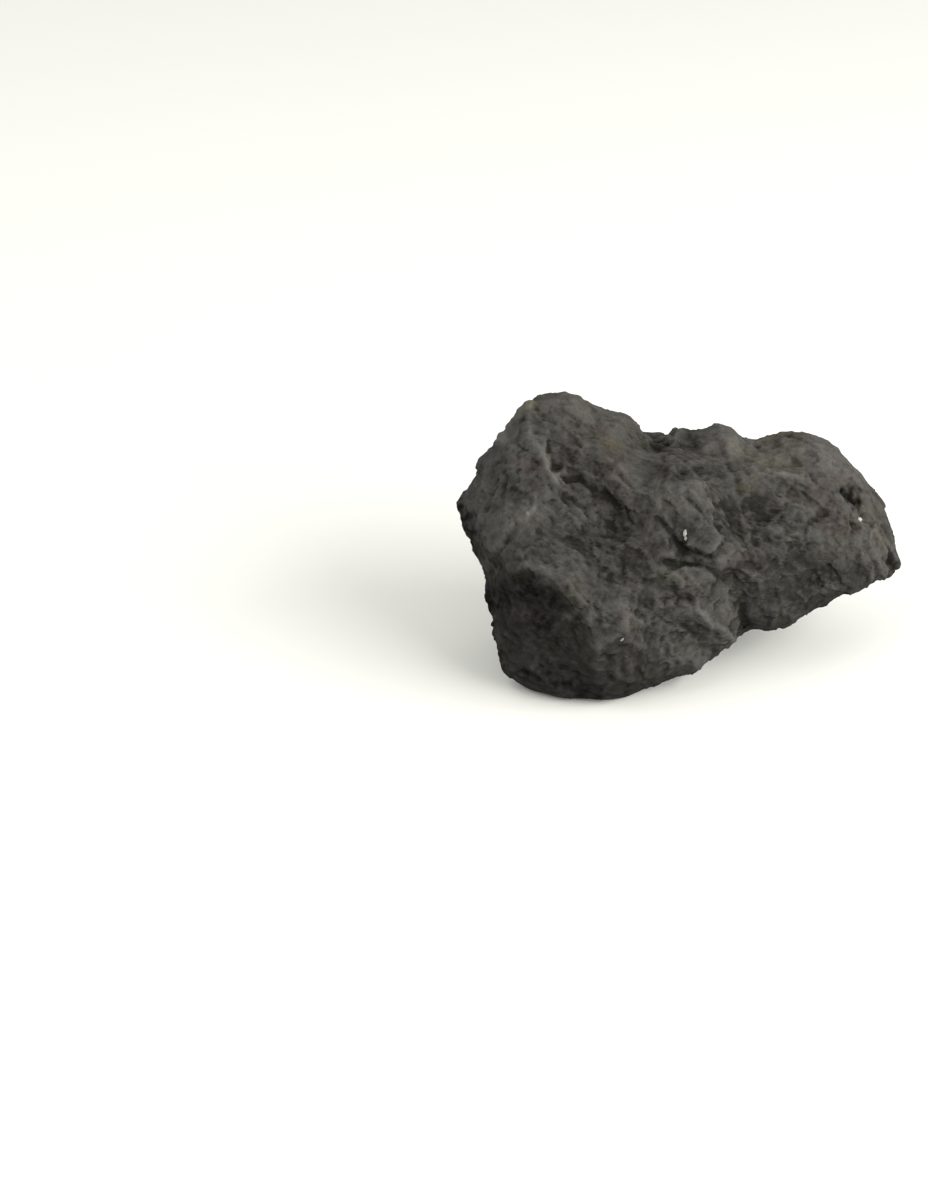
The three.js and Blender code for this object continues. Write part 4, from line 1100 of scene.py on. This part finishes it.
class SetStage(bpy.types.Operator):
    """Set the floor, the light and the camera"""

    bl_idname = "shungite.set_stage"
    bl_label = "Stage"

    def execute(self, context):
        scene = context.scene
        settings = scene.shungite_stage
        scene.view_settings.view_transform = "Standard"
        bpy.ops.mesh.primitive_plane_add(size=FLOOR_SIZE)
        floor = context.object
        floor.name = "floor"
        paint = bpy.data.materials.new("floor_paint")
        paint.use_nodes = True
        shader = paint.node_tree.nodes["Principled BSDF"]
        shader.inputs["Base Color"].default_value = (*settings.floor, 1)
        shader.inputs["Roughness"].default_value = FLOOR_ROUGHNESS
        shader.inputs["Specular IOR Level"].default_value = 0.0
        floor.data.materials.append(paint)
        world = bpy.data.worlds.new("soft_room")
        world.use_nodes = True
        background = world.node_tree.nodes["Background"]
        background.inputs["Color"].default_value = (*settings.room_colour, 1)
        background.inputs["Strength"].default_value = settings.room_strength
        scene.world = world
        for name, place, power in (
            ("soft_lamp", LAMP_PLACE, settings.lamp_power),
            ("fill_lamp", FILL_PLACE, settings.fill_power),
        ):
            add_area_light(name, place, STONE_MIDDLE, settings.lamp_size, power, settings.room_colour)
        bpy.ops.object.camera_add()
        camera = context.object
        camera.matrix_world = camera_matrix()
        camera.data.sensor_width = SENSOR
        camera.data.lens = CAMERA_DISTANCE / (PIXEL * PICTURE[1]) * SENSOR
        scene.camera = camera
        return {"FINISHED"}


# ---- The sidebar ------------------------------------------------------------------------


class ShungitePanel(bpy.types.Panel):
    """Settings and steps of the stone"""

    bl_idname = "VIEW3D_PT_shungite"
    bl_label = "Shungite stone"
    bl_space_type = "VIEW_3D"
    bl_region_type = "UI"
    bl_category = "Shungite"

    def draw(self, context):
        for operator, name in STEPS:
            box = self.layout.box()
            settings = getattr(context.scene, name)
            for setting in settings.bl_rna.properties:
                if setting.identifier not in ("rna_type", "name"):
                    box.prop(settings, setting.identifier)
            box.operator(operator)


STEPS = (
    ("shungite.shape_stone", "shungite_stone"),
    ("shungite.set_grains", "shungite_grains"),
    ("shungite.set_stage", "shungite_stage"),
)
CLASSES = (
    StoneSettings,
    GrainSettings,
    StageSettings,
    ShapeStone,
    SetGrains,
    SetStage,
    ShungitePanel,
)


def register():
    for each in CLASSES:
        bpy.utils.register_class(each)
    bpy.types.Scene.shungite_stone = bpy.props.PointerProperty(type=StoneSettings)
    bpy.types.Scene.shungite_grains = bpy.props.PointerProperty(type=GrainSettings)
    bpy.types.Scene.shungite_stage = bpy.props.PointerProperty(type=StageSettings)


def unregister():
    del bpy.types.Scene.shungite_stage
    del bpy.types.Scene.shungite_grains
    del bpy.types.Scene.shungite_stone
    for each in reversed(CLASSES):
        bpy.utils.unregister_class(each)


def main():
    register()
    bpy.ops.shungite.shape_stone()
    bpy.ops.shungite.set_grains()
    bpy.ops.shungite.set_stage()


if __name__ == "__main__":
    main()
